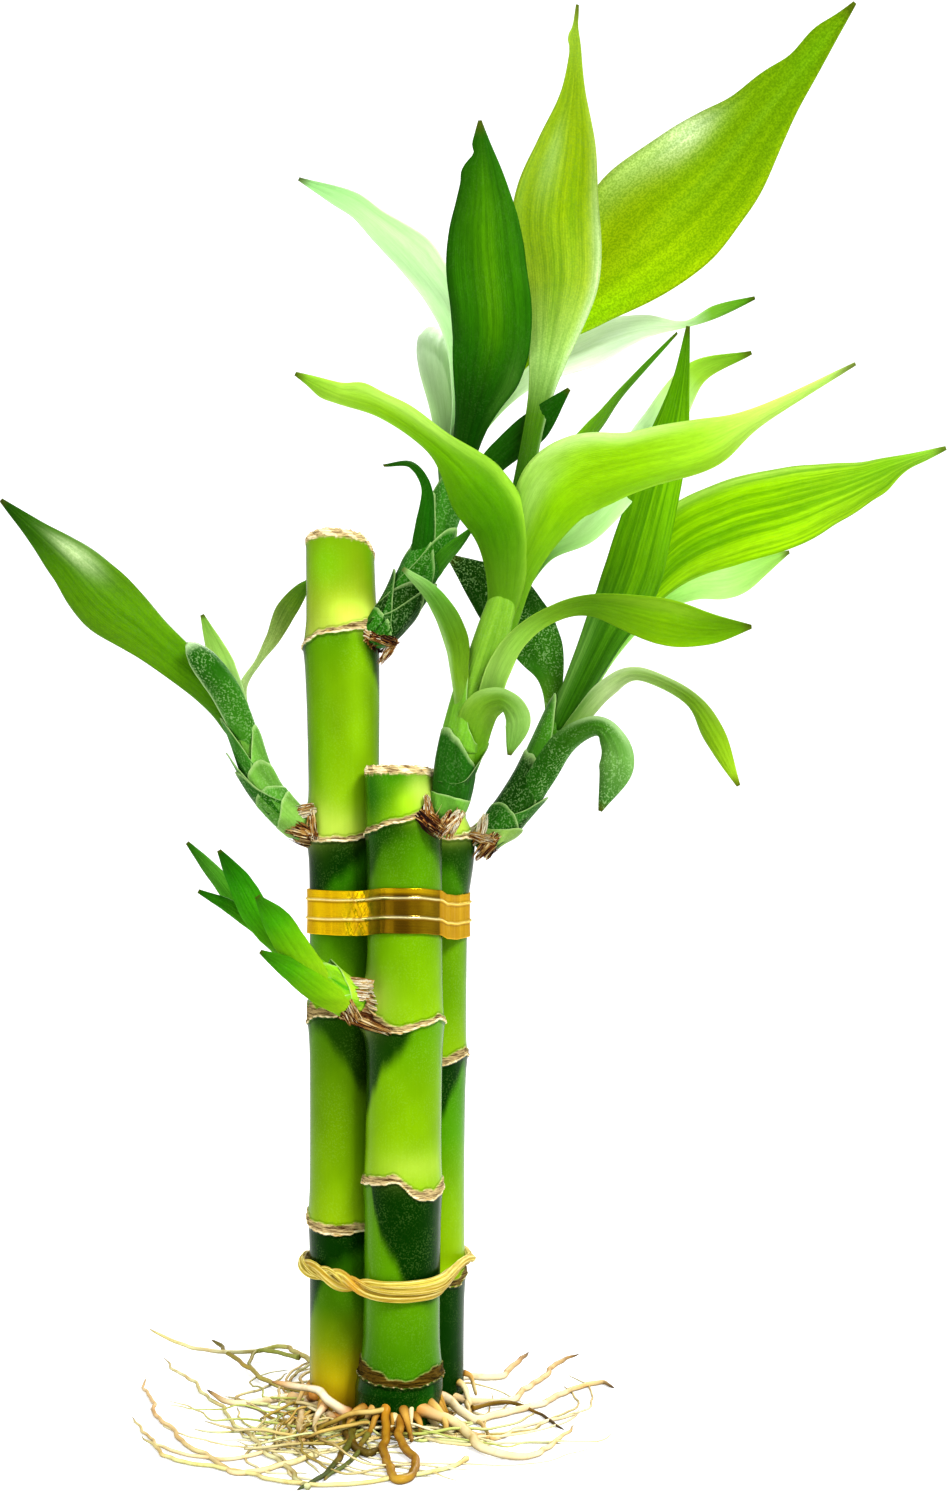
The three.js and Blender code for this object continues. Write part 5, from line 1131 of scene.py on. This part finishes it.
def make_leaf(name, spec, material, seed, across=25, length=110):
    """A leaf: at v along the rib and u across it, from -1 to 1, with half width w and half angle a
    of the arch, the blade lies w sin(a u) / a to the side of the rib and w (1 - cos(a u)) / a off
    it, less a shallow groove along the midrib, plus margin waves that grow with |u| cubed."""
    stations = np.array(spec["stations"], float)
    t = np.linspace(0, 1, length)
    v = t[:, None]
    centre = spline(stations[:, :3], t)
    turn = np.radians(spline(stations[:, 4:5], t))
    side, face = cross_ways(unit(np.gradient(centre, axis=0)))
    side, face = side * np.cos(turn) + face * np.sin(turn), face * np.cos(turn) - side * np.sin(turn)
    centre, side, face = centre[:, None, :], side[:, None, :], face[:, None, :]
    half = np.maximum(spline(stations[:, 3:4], t), NARROWEST)
    arch = np.maximum(abs(spec["curl"]), 1.2 * (1 - 3 * v))
    lean = math.copysign(1.0, spec["curl"])
    u = np.linspace(-1, 1, across)[None, :]
    blade_part = smooth(0.15, 0.45, v)
    waves = 0.08 * half * np.sin(2 * np.pi * spec["waves"] * v + u) * np.abs(u) ** 3
    edge = 0.05 * half * ripple(14 * v + 2.5 * np.sign(u), seed) * np.abs(u) ** 3
    groove = 0.2 * bell(u, 0.06) * blade_part * np.minimum(half / 4, 1)
    pleat = 0.05 * np.cos(5 * np.pi * u) * (1 - u ** 2) * blade_part
    off = lean * half * (1 - np.cos(arch * u)) / arch + waves + edge + lean * groove + pleat
    trim = 1 + 0.035 * ripple(13 * v + 2 * np.sign(u), seed + 7)
    for at, where, depth, wide_v in spec.get("nicks", []):
        trim = trim - depth * bell(v - at, wide_v) * (np.sign(u) == where)
    aside = half * np.sin(arch * u) / arch * trim
    middle = centre + side * aside[..., None] + face * off[..., None]
    normal = face * np.cos(arch * u)[..., None] - side * (lean * np.sin(arch * u))[..., None]
    depth = BLADE / 2 * (1 - 0.55 * np.abs(u) ** 4) * np.minimum(half / 1.2, 1) * (1 + 0.5 * bell(u, 0.08))
    loops = there_and_back(middle + normal * depth[..., None], middle - normal * depth[..., None])
    margin = (np.abs(u) ** 10 * 0.5)[..., None]
    tint = blend_tones(spec["tones"], v)
    tint = tint * (1 - margin) + tint * MARGIN_TINT * margin
    cloud = 0.5 + 0.5 * ripple(7 * v + 1.8 * u, seed + 50)
    tint = tint * (0.85 + 0.3 * cloud[..., None])
    # Marks: mostly painted highlights, sheen and shade, a few the leaf's own pale lips and speckles.
    for at, across_at, wide_v, wide_u, tone, strength in spec.get("marks", []):
        tint = toward(tint, tone, strength * spot(v - at, wide_v, u - across_at, wide_u))
    tint = toward(tint, "#5c5a1c", 0.75 * smooth(0.955, 1.0, v))
    place = pair((u + 1) / 2, v)
    build(name + "_blade", loops, tube_faces(length, 2 * across), there_and_back(tint, tint), material,
          [name], there_and_back(place, place))


def core_frames(core, s):
    """Centre, two cross directions and radius of a core at any s; before its start and past its end
    the core goes straight on."""
    core = np.asarray(core, float)
    flat = np.asarray(s, float).ravel()
    inside = np.clip(flat, 0.001, 0.999)
    slope = (spline(core[:, :3], inside + 0.001) - spline(core[:, :3], inside - 0.001)) / 0.002
    centre = spline(core[:, :3], inside) + slope * (flat - inside)[:, None]
    vectors = [part.reshape(np.shape(s) + (3,)) for part in (centre, *cross_ways(unit(slope)))]
    return (*vectors, spline(core[:, 3:4], inside).reshape(np.shape(s)))


def add_sheath(shoot, core, start, end, facing, back, flare, narrow, tone, seed, tone_seed,
               around=64, rows=22):
    """A sheath: at p round the core and v up it, its rim is at back + (1 - back) ((1 + cos p) / 2)^n
    of its length, where n says how narrow its tip is, so it ends in a tip on the side it faces. It
    stands off the core by 0.1 mm at the foot, 0.4 mm further up, and by the flare more at the tip."""
    phi = np.linspace(-np.pi, np.pi, around, endpoint=False)[:, None]
    v = np.linspace(0, 1, rows)[None, :]
    lobe = ((1 + np.cos(phi)) / 2) ** narrow
    rim = back + (1 - back) * lobe + 0.03 * ripple(3 * phi, seed)
    centre, side, face, radius = core_frames(core, start + (end - start) * v * rim)
    way = round_way(side, face, phi + np.radians(facing))
    stand = (radius + 0.1 + 0.3 * smooth(0.0, 0.25, v) + 1.6 * flare * lobe * v ** 3
             + 0.12 * bell(phi, 0.12) * v + 0.06 * ripple(9 * phi + 2 * v, seed + 1))
    thick = 0.3 - 0.12 * v
    loops = there_and_back(centre + way * stand[..., None], centre + way * (stand - thick)[..., None])
    share = 0.5 + 0.5 * ripple(4 * phi + 3 * v, tone_seed)
    shade = paint(tone) * (0.7 + 0.5 * share * (0.5 + 0.5 * v))[..., None]
    shade = toward(shade, "#b8d490", 0.75 * smooth(0.93, 0.98, v))
    # Painted shade: dark at the sheath's foot, where it clasps the core.
    shade = toward(shade, "#1c3c04", 0.7 * smooth(0.12, 0.0, v))
    place = pair(phi / (2 * np.pi) + 0.5, v * 0.4)
    # The inner side is 0.8 as bright: painted shade.
    shoot.add(loops, shell_faces(around, 2 * rows), there_and_back(shade, shade * 0.8),
              there_and_back(place, place))


def make_shoot(name, spec, material, seed, rows=90, around=32):
    """A shoot: a round core whose radius swells gently at each joint, with its sheaths."""
    t = np.linspace(0, 1, rows)
    v, a = t[:, None], circle(around)[None, :]
    centre, side, face, radius = core_frames(spec["core"], t)
    swell = 1 + 0.025 * np.sin(18 * v) + 0.015 * np.cos(5 * a + 4 * v)
    points = centre[:, None, :] + (radius[:, None] * swell)[..., None] * round_way(
        side[:, None, :], face[:, None, :], a)
    cloud = 0.5 + 0.5 * ripple(9 * v + 3 * a, seed)
    tint = blend_tones(spec["tones"], v) * (0.9 + 0.2 * cloud)[..., None]
    shoot = Gathered()
    shoot.add(points, tube_faces(rows, around), tint, pair(a / (2 * np.pi), v))
    for k, sheath in enumerate(spec["sheaths"]):
        add_sheath(shoot, spec["core"], *sheath, seed + 3 * k, seed + k)
    shoot.build(name + "_stem", material, [name], "shoot")


DRY_TONES = "#2c0c02 #7c4414 #c08c40 #e8cc8c #fcf4d8"
FAN_THICK, TUFT_THICK = 0.11, 0.09  # mm: half a fibre's thickness
COLLAR_THICK = 0.35  # mm


def add_fibres(husk, middle, way, half, deep, share, sides=6):
    """Flat fibres round their middle lines, with v from 0 to 1 along each: half wide across the way
    they face and up to deep (1.1 - v) along it, toned from dark to pale by share."""
    count, rows = share.shape
    ring = circle(sides)
    v = np.linspace(0, 1, rows)[:, None]
    across = unit(np.cross(unit(np.gradient(middle, axis=1)), way))
    loops = (middle[:, :, None, :] + across[:, :, None, :] * (half[..., None] * np.cos(ring))[..., None]
             + way[..., None, :] * (deep * np.sin(ring) * (1.1 - v))[..., None])
    faces = tube_faces(rows, sides)[None] + (rows * sides * np.arange(count))[:, None, None]
    tint = np.repeat(blend_tones(DRY_TONES, share)[:, :, None, :], sides, axis=2)
    place = np.broadcast_to(pair(ring * 0.1, 0.3 * v), (count, rows, sides, 2))
    husk.add(loops, faces.reshape(-1, 4), tint, place)


def make_husk(name, core, spec, material, seed, around=120, rows=10):
    """A dry husk at a shoot's foot: collars round the core with ragged rims, then loose fibres. A
    fan's fibre at angle p round the core runs along it, and with v from 0 to 1 along the fibre it
    stands off by 0.2 mm + over (1 - v)^1.4, plus up to 0.7 v^2 where its tip has come loose. A
    tuft's fibre runs a part q of the way from a to b, up to the tuft's width beside it, bent by a
    random times 2 (q - q^2), and bulges forwards by its bulge sin(pi q)."""
    husk = Gathered()
    phi = np.linspace(-np.pi, np.pi, around, endpoint=False)[:, None]
    v = np.linspace(0, 1, 16)[None, :]
    for k, (s0, s1, over, ragged, pale, deep) in enumerate(spec["collars"]):
        torn = 0.5 * ripple(6 * phi, seed + k) + 0.35 * ripple(23 * phi, seed + k + 5)
        s = s0 + (s1 - s0) * (v + ragged * 0.55 * torn * (v - 0.3))
        centre, side, face, radius = core_frames(core, s)
        way = round_way(side, face, phi)
        crumple = (0.15 * ripple(11 * phi + 2 * v, seed + k + 6)
                   + 0.15 * ripple(37 * phi - 3 * v, seed + k + 7))
        stand = radius + over * (1.15 - 0.5 * v) + crumple
        loops = there_and_back(centre + way * stand[..., None],
                               centre + way * (stand - COLLAR_THICK)[..., None])
        share = np.clip(0.5 + 0.6 * ripple(29 * phi + v, seed + k + 8) + 0.4 * (v - 0.5), 0, 1)
        tint = toward(paint(deep), pale, share)
        place = pair(phi * 1.6, v * 0.3)
        husk.add(loops, shell_faces(around, loops.shape[1]), there_and_back(tint, tint),
                 there_and_back(place, place))
    rng = np.random.default_rng(seed)
    v = np.linspace(0, 1, rows)[None, :]

    def each(low, high):
        """A random number for each fibre of the fan or tuft in hand."""
        return rng.uniform(low, high, count)[:, None]

    for s0, s1, over, facing, spread, count, paleness in spec["fans"]:
        angle = np.radians(facing + spread * each(-1, 1)) + each(-0.25, 0.25) * v
        s = s0 + each(-0.015, 0.02) + (s1 - s0) * each(0.5, 1.15) * v
        centre, side, face, radius = core_frames(core, s)
        way = round_way(side, face, angle)
        stand = radius + 0.2 + over * (1 - v) ** 1.4 * each(0.6, 1.1) + each(-0.1, 0.7) * v ** 2
        half = each(0.08, 0.3) * (1.05 - v ** 2)
        # Fibres that face up are paler: painted light from above.
        share = np.clip(0.5 + 0.5 * paleness + 0.5 * way[..., 2] + each(-0.5, 0.5), 0, 1)
        add_fibres(husk, centre + way * stand[..., None], way, half, FAN_THICK, share)
    forwards = np.array([0.0, -1.0, 0.0])
    for a, b, wide_a, wide_b, bulge, count, paleness in spec["tufts"]:
        a, b = np.array(a), np.array(b)
        early, late = each(-0.15, 0.5), each(0.55, 1.15)
        q = early + (late - early) * v
        near, far, bend = each(-1, 1), each(-0.45, 0.45), rng.normal(0, 0.4, count)[:, None]
        shift = near * (wide_a + (wide_b - wide_a) * q) + far * q + bend * (q - q ** 2) * 2
        lift = bulge * np.sin(np.pi * np.clip(q, 0, 1)) * (1 - 0.8 * near ** 2) + each(-0.15, 0.45)
        lift = lift + each(-0.2, 0.5) * v ** 2
        middle = (a + (b - a) * q[..., None] + np.cross(unit(b - a), forwards) * shift[..., None]
                  + forwards * lift[..., None])
        half = each(0.06, 0.24) ** 1.1 * (1.0 - 0.85 * v ** 3)
        share = np.clip(0.5 + 0.45 * paleness + each(-0.5, 0.5) + 0.15 * np.sin(9 * v + 9 * near), 0, 1)
        add_fibres(husk, middle, forwards, half, TUFT_THICK, share)
    husk.build(name + "_husk", material, [], "root")


CLEAR = 0.3  # mm between the canes and the middle of a tie's inner side


def even_outline(height, count):
    """The outline round all three canes at a height, seen from above, as a tight band lies: in each
    direction the farthest point of any of their circles. Gives x, y, the way out, the way round
    from 0 to 1 and the angle, as columns, at points an even distance apart."""
    angle = circle(720)
    circles = np.array([(along(c["axis"], height), c["y"], along(c["radius"], height) + CLEAR)
                        for c in CANES.values()])
    reach = [x * np.cos(angle) + y * np.sin(angle) + r for x, y, r in circles]
    x, y, r = circles[np.argmax(reach, axis=0)].T
    x, y = x + r * np.cos(angle), y + r * np.sin(angle)
    x, y = np.append(x, x[0]), np.append(y, y[0])
    walked = np.concatenate([[0], np.cumsum(np.hypot(np.diff(x), np.diff(y)))])
    s = np.linspace(0, walked[-1], count, endpoint=False)[:, None]
    px, py = np.interp(s, walked, x), np.interp(s, walked, y)
    step_x, step_y = (np.roll(p, -1) - np.roll(p, 1) for p in (px, py))
    run = unit(np.hstack([step_x, step_y]))
    return px, py, np.stack([run[:, 1], -run[:, 0]], axis=-1), s / walked[-1], np.arctan2(py - 6, px)


def off_outline(px, py, out, stand, z):
    """Points that stand off an outline."""
    return np.stack([px + out[:, :1] * stand, py + out[:, 1:] * stand, z], axis=-1)


FOIL = 0.18  # mm: the ribbon's thickness
WIRE_RISE, WIRE_WIDE = 0.42, 0.02  # mm over the foil, and a share of the ribbon's height


def make_ribbon(material, low=95.2, high=104.0, count=640, rows=49):
    """The foil ribbon: round the outline, it rises and falls by a table of angles, and it stands out
    by 0.42 mm over each of its two wires. It is smooth where it lies on a cane, and crumpled by
    0.5 mm where it bridges the gap between the tall cane and the front one."""
    px, py, out, s, angle = even_outline((low + high) / 2, count)
    h = np.linspace(0, 1, rows)[None, :]
    wires = (0.36 + 0.012 * ripple(20 * s, 60), 0.79 + 0.01 * ripple(20 * s, 61))
    wire = np.clip(sum(bell(h - at, WIRE_WIDE) for at in wires), 0, 1)
    under = np.clip(sum(bell(h - at + 0.05, 0.022) for at in wires), 0, 1)
    front = py < 8
    gap = bell(px + 7.2, 1.9) * front
    crease = (0.4 * ripple(80 * s + 4 * h, 3) + 0.14 * ripple(150 * s - 9 * h, 4)) * gap
    soft = 0.05 * ripple(30 * s + 1.5 * h, 8) + 0.02 * ripple(160 * s, 9)
    stand = 0.3 + WIRE_RISE * wire + crease + soft - 0.1 * np.sin(np.pi * h)
    shift = round_table([(-180, 0.3), (-130, 0.5), (-98, 1.2), (-68, 1.2), (-50, 0.7), (-30, -0.4),
                         (0, -0.9), (90, -0.5)], np.degrees(angle))
    z = low + (high - low) * h + shift + 0.12 * ripple(14 * s, 62)
    loops = there_and_back(off_outline(px, py, out, stand, z), off_outline(px, py, out, stand - FOIL, z))
    # Painted light on the foil: a dark reflection across the front with lighter bands in it, a green
    # reflection of the canes where it bridges the gap, painted shadow under each wire and a painted
    # highlight along each wire.
    dark_reflection = smooth(-5.4, -4.6, px) * smooth(8.6, 8.2, px) * (py < 2)
    streaks = ripple(70 * s + 0.3 * h, 12) + 0.5 * ripple(33 * s, 13)
    folds = ripple(50 * s + 2.5 * h, 15) + 0.4 * ripple(120 * s - 4 * h, 16)
    tint = toward(paint("#ecc40a"), "#c89a04", 0.3 + 0.3 * streaks + 0.5 * (px > 8))
    for tone, share in (
            ("#4c3404", dark_reflection * (0.92 + 0.06 * streaks) * (1 - 0.4 * smooth(0.86, 0.92, h))),
            ("#a08414", 0.6 * (bell(px + 4.6, 1.2) * dark_reflection) + 0.35 * dark_reflection * smooth(4.0, 6.0, px)),
            ("#5c6c08", 0.85 * (bell(px + 7.0, 2.2) * front) * smooth(-0.3, 0.4, folds)),
            ("#6a4800", 0.8 * under), ("#fff4b8", 0.85 * wire)):
        tint = toward(tint, tone, share)
    place = pair(s * 40, h)
    build("gold_ribbon_foil", loops, shell_faces(count, 2 * rows), there_and_back(tint, tint), material,
          ["gold_ribbon"], there_and_back(place, place))


RAFFIA_TURNS = 4
STRANDS = [(0.0, 0.92, 1.0), (np.pi, 0.88, 1.0), (1.7, 0.45, 0.9), (4.4, 0.5, 0.9)]  # phase, size, spread


def make_raffia(material, mid=29.3, count=880, sides=28):
    """The raffia tie: flat strands that lie one above the other in front and wind round each other
    at the back and on the left, with creases along them. A strand of size m at phase p stands 0.95 +
    0.42 sin(w) mm off the outline and 1.12 cos(w) mm above its middle, where w is p plus its
    winding; it is 2 m mm wide and 1.2 m mm deep, and cos(w) is scaled by its spread."""
    px, py, out, s, angle = even_outline(mid, count)
    winding = np.cumsum(0.25 + 1.6 * smooth(-2.0, -8.0, px) + 0.8 * smooth(8, 14, py), axis=0)
    winding = 2 * np.pi * RAFFIA_TURNS * winding / winding[-1]
    front = winding[np.argmin(np.hypot(px - 3, py + 8))]
    slim = 1 - 0.28 * smooth(9.0, 12.5, px) - 0.1 * smooth(-13, -17, px)
    ring = circle(sides)[None, :]
    tie = Gathered()
    for k, (phase, size, spread) in enumerate(STRANDS):
        w = winding - front + phase
        off = 0.95 + 0.42 * np.sin(w) + 0.15 * ripple(8 * s, 20 + k)
        up = (1.12 * spread * np.cos(w) + 0.2 * ripple(6 * s, 24 + k)) * slim
        z = mid + 1.9 * np.sin(angle) * smooth(14, 4, py) + up
        folds = np.cos(6 * ring + 2 * ripple(10 * s, 30 + k))
        crease = 1 + 0.1 * folds + 0.06 * np.cos(13 * ring + 3 * ripple(14 * s, 34 + k))
        pinch = 1 + 0.12 * ripple(30 * s, 38 + k)
        wide, deep = slim * size * crease * pinch, 0.6 * size * crease / pinch
        tip = 0.55 * np.sin(w)
        stand = off + (deep * np.cos(ring) - wide * np.sin(ring) * np.sin(tip))
        z = z + (wide * np.sin(ring) * np.cos(tip) + deep * np.cos(ring) * np.sin(tip))
        tint = toward(paint("#e8dc60"), "#bc9c10", 0.45 + 0.6 * ripple(7 * s + 1.3 * ring + k, 40 + k))
        # Painted shade in the creases and a painted highlight along their ridges.
        tint = toward(tint, "#7c6008", 0.5 * smooth(0.3, 1.0, -folds))
        tint = toward(tint, "#f8f4c0", 0.6 * smooth(0.5, 1.0, folds))
        tint = toward(tint, "#d89c14", 0.6 * bell(px + 7.0, 2.0) * (py < 4))
        tie.add(off_outline(px, py, out, stand, z), shell_faces(count, sides), tint,
                pair(ring / (2 * np.pi), s * 10))
    tie.build("raffia_tie_strands", material, ["raffia_tie"], "raffia")


def add_root(mat, path, wide, thin, tones, seed, rows, around, knobs=1.0):
    """A root: a tube along a curve (x, y, z), never lower than its own radius. With q the distance
    walked, it wanders sideways by up to a fiftieth of its length, its radius goes from wide to thin
    with a slight ripple, and its foot is thickened by 0.3 exp(-(q / 1.4)^2) of it. knobs scales the
    ripple and the thickening."""
    t = np.linspace(0, 1, rows)
    centre = spline(path, t)
    walked = np.concatenate([[0], np.cumsum(np.linalg.norm(np.diff(centre, axis=0), axis=1))])
    wander = min(0.7, walked[-1] * 0.015)
    for axis in (0, 1):
        centre[:, axis] += wander * ripple(walked * 0.3, seed + axis) * smooth(0, 6, walked)
    radius = wide + (thin - wide) * t ** 0.9
    bumps = 0.05 * ripple(walked * 0.7, seed + 2) + 0.02 * ripple(walked * 2.6, seed + 3)
    radius = radius * (1 + knobs * bumps)
    radius = radius * np.interp(t, [0, 0.88, 0.96, 1], [1, 1, 0.7, 0.2])
    radius = radius * (1 + 0.3 * knobs * bell(walked, 1.4))
    centre[:, 2] = np.maximum(centre[:, 2], radius)
    run = unit(np.gradient(centre, axis=0))
    side = unit(np.cross(np.array([0.0, 0.0, 1.0]), run))
    a = circle(around)[None, :]
    points = centre[:, None, :] + radius[:, None, None] * round_way(
        side[:, None, :], np.cross(run, side)[:, None, :], a)
    points[..., 2] = np.maximum(points[..., 2], 0.02)
    tint = blend_tones(tones, t)[:, None, :] * 0.94
    blush = smooth(0.1, 0.9, ripple(walked * 0.28, seed + 6))[:, None]
    tint = toward(tint, "#c89848", (0.08 + 0.3 * knobs) * blush)
    tint = toward(tint, "#3c2408", 0.5 * smooth(0.93, 1.0, t)[:, None])
    # Painted shade: darker on the underside of each root.
    mat.add(points, tube_faces(rows, around), tint * (1 - 0.45 * smooth(0.3, -0.9, np.sin(a))[..., None]))


STUB_TONES = ["#a87c24 #c89c44 #b0842c #7c5814", "#c8a448 #f0e4b4 #f4ecc4 #d0b470",
              "#b08030 #dcb468 #f0dca4 #a87c38"]
FINE_TONES = ["#dce4a4", "#ece0ac", "#ccd884", "#e8d498", "#d4b868", "#f0e8c0", "#bcc870", "#ac9848"]


CUT_REACH = 7.2  # mm from a cane's middle to where its stubs start


def make_roots(material, stubs=34, fine=84):
    """The thick roots as listed, stubs of new ones round the cut ends, and fine ones by a seeded rule:
    each leaves the cut ends and bends round into an arc, as roots do that grew in a round dish."""
    mat = Gathered()
    for i, (path, wide, thin, tones) in enumerate(ROOTS):
        add_root(mat, path, wide, thin, tones, 100 + 7 * i, 120, 14)
    rng = np.random.default_rng(11)
    for i in range(stubs):
        cane = list(CANES.values())[(0, 0, 1, 2)[i % 4]]
        turn = rng.uniform(0, 2 * np.pi) if i % 4 else np.radians(-150 + 7 * i)
        out = np.array([np.cos(turn), np.sin(turn)])
        foot = np.array([cane["axis"][0][1], cane["y"]])
        high, reach, bend = rng.uniform(1.5, 5.5), rng.uniform(0.6, 3.2), rng.normal(0, 1.2)
        swing = np.array([-out[1], out[0]]) * bend
        path = [(*(foot + away * out + aside * swing), z) for away, aside, z in (
            (CUT_REACH, 0, high + 0.8), (CUT_REACH + 1.4, 0.2, high),
            (CUT_REACH + 1.6 + 0.6 * reach, 0.6, 0.45 * high), (CUT_REACH + 1.6 + reach, 1, 0.5))]
        add_root(mat, path, rng.uniform(0.5, 1.0), rng.uniform(0.3, 0.5), rng.choice(STUB_TONES),
                 300 + 5 * i, 36, 12)
    share = np.linspace(0.12, 1, 7)
    for i in range(fine):
        heading = rng.uniform(np.radians(150), np.radians(300)) if i % 6 else rng.uniform(0, 2 * np.pi)
        sweep = rng.choice([-1, 1]) * rng.uniform(0.4, 1.9)
        far = rng.uniform(18, 48) if i % 6 else rng.uniform(14, 30)
        away = (7 + (far - 7) * share ** 0.7) * (1 + 0.05 * rng.normal(size=7))
        turn = heading + sweep * share ** 1.3
        x = np.clip(-2 + away * np.cos(turn), -54, 43)
        y = np.clip(7 + away * 1.02 * np.sin(turn), -44.0, 54)
        z = rng.uniform(0.2, 3.6) * np.sin(np.pi * (0.15 + 0.8 * share)) * rng.uniform(0.3, 1.0, 7)
        tone = rng.choice(FINE_TONES)
        wide = rng.uniform(0.2, 0.46)
        add_root(mat, list(zip(x, y, z)), wide, wide * 0.6, f"{tone} {tone} #f0ecc4", 500 + 5 * i,
                 44, 8, 0.4)
    mat.build("root_strands", material, ["root_mat"], "root")


# ---- Assembly ----
# Each kind of piece draws its ripples from seeds of its own.
skin = cane_material()
for name, spec in CANES.items():
    make_cane(name, spec, SKINS[name], skin)

FINISHES = dict(
    leaf_bright=dict(veins=44, contrast=0.12, stripes=0.16, flecks=0.03, glow=0.3),
    leaf_broad=dict(veins=50, contrast=0.08, stripes=0.3, bands=8, mottle=0.6, cells=0.2, glow=0.3),
    leaf_dark=dict(veins=36, contrast=0.15, stripes=0.4, flecks=0.03, cells=0.5, glow=0.12),
    # The pale leaves' near-white tones are partly their own pale green and partly painted backlight.
    leaf_pale=dict(veins=40, contrast=0.08, stripes=0.1, cells=0.2, glow=0.45, clear=0.95),
    leaf_veined=dict(veins=34, contrast=0.14, stripes=0.3, flecks=0.06, mottle=0.3, cells=0.45, glow=0.28),
    leaf_striped=dict(veins=20, contrast=0.25, stripes=0.65, bands=12, flecks=0.03, cells=0.4, glow=0.22),
    leaf_speckled=dict(veins=30, contrast=0.15, stripes=0.2, flecks=0.5, cells=0.3, glow=0.1))
finishes = {name: leaf_material(name, **look) for name, look in FINISHES.items()}
for i, (name, spec) in enumerate(LEAVES.items()):
    make_leaf(name, spec, finishes[spec["finish"]], seed=10 * i + 1)

dry_husk = husk_material()
for i, (name, spec) in enumerate(SHOOTS.items()):
    stem = leaf_material(name + "_skin", veins=30, contrast=0.15, stripes=0.25, flecks=spec["speckle"],
                         rough=0.45, glow=0.08)
    make_shoot(name, spec, stem, seed=500 + 20 * i)
    make_husk(name, spec["core"], HUSKS[name], dry_husk, seed=700 + 50 * i)

make_ribbon(foil_material())
make_raffia(raffia_material())
make_roots(root_material())


# ---- Floor, light and camera ----
def make_floor():
    """A pale sweep: flat under the bamboo, then curving up behind it by a quarter circle."""
    bend = np.linspace(0, math.pi / 2, 24)
    y = np.concatenate([[-2.5], 0.9 + 0.8 * np.sin(bend), [1.7]])
    z = np.concatenate([[0.0], 0.8 - 0.8 * np.cos(bend), [3.0]])
    points = [(px, py, pz) for py, pz in zip(y, z) for px in (-2.5, 0.0, 2.5)]
    mesh = bpy.data.meshes.new("studio_floor")
    mesh.from_pydata(points, [], grid_faces(len(y), 3, False).tolist())
    mesh.shade_smooth()
    obj = bpy.data.objects.new("studio_floor", mesh)
    bpy.context.collection.objects.link(obj)
    material, tree, surface = new_material("studio_white")
    seen = tree.nodes.new("ShaderNodeLightPath").outputs["Is Camera Ray"]
    finish(tree, surface, colour=(0.8, 0.8, 0.8), rough=0.9, specular=0.0, glow_colour=(1, 1, 1),
           glow=times(tree, seen, 0.42))
    mesh.materials.append(material)


def area_light(name, place, target, size, power):
    """A square area light that looks at a target."""
    lamp = bpy.data.lights.new(name, "AREA")
    lamp.size = size
    lamp.energy = power
    obj = bpy.data.objects.new(name, lamp)
    obj.location = place
    obj.rotation_euler = (Vector(target) - Vector(place)).to_track_quat("-Z", "Y").to_euler()
    bpy.context.collection.objects.link(obj)


make_floor()
area_light("key_light", (0.55, -0.75, 0.85), (0.0, 0.0, 0.14), 0.35, 13)
area_light("fill_light", (-0.8, -0.6, 0.4), (0.0, 0.0, 0.12), 0.8, 3)
area_light("back_light", (0.25, 0.7, 0.7), (0.0, 0.0, 0.18), 0.5, 7)
world = bpy.data.worlds.new("studio_world")
world.use_nodes = True
sky = world.node_tree.nodes["Background"]
sky.inputs["Color"].default_value = (1, 1, 1, 1)
sky.inputs["Strength"].default_value = 0.62
scene = bpy.context.scene
scene.world = world
scene.view_settings.view_transform = "Standard"
scene.view_settings.look = "Medium High Contrast"

PHOTO_HEIGHT = 1500  # pixels of the photograph's long side
FOCAL_PIXELS = 2350
SENSOR = 36.0
camera_data = bpy.data.cameras.new("photo_camera")
camera_data.sensor_width = SENSOR
camera_data.lens = FOCAL_PIXELS / PHOTO_HEIGHT * SENSOR
camera_data.clip_start = 0.01
camera = bpy.data.objects.new("photo_camera", camera_data)
camera.location = (15.4 * MM, -462 * MM, 132 * MM)
camera.rotation_euler = (math.radians(90), 0, 0)
bpy.context.collection.objects.link(camera)
scene.camera = camera
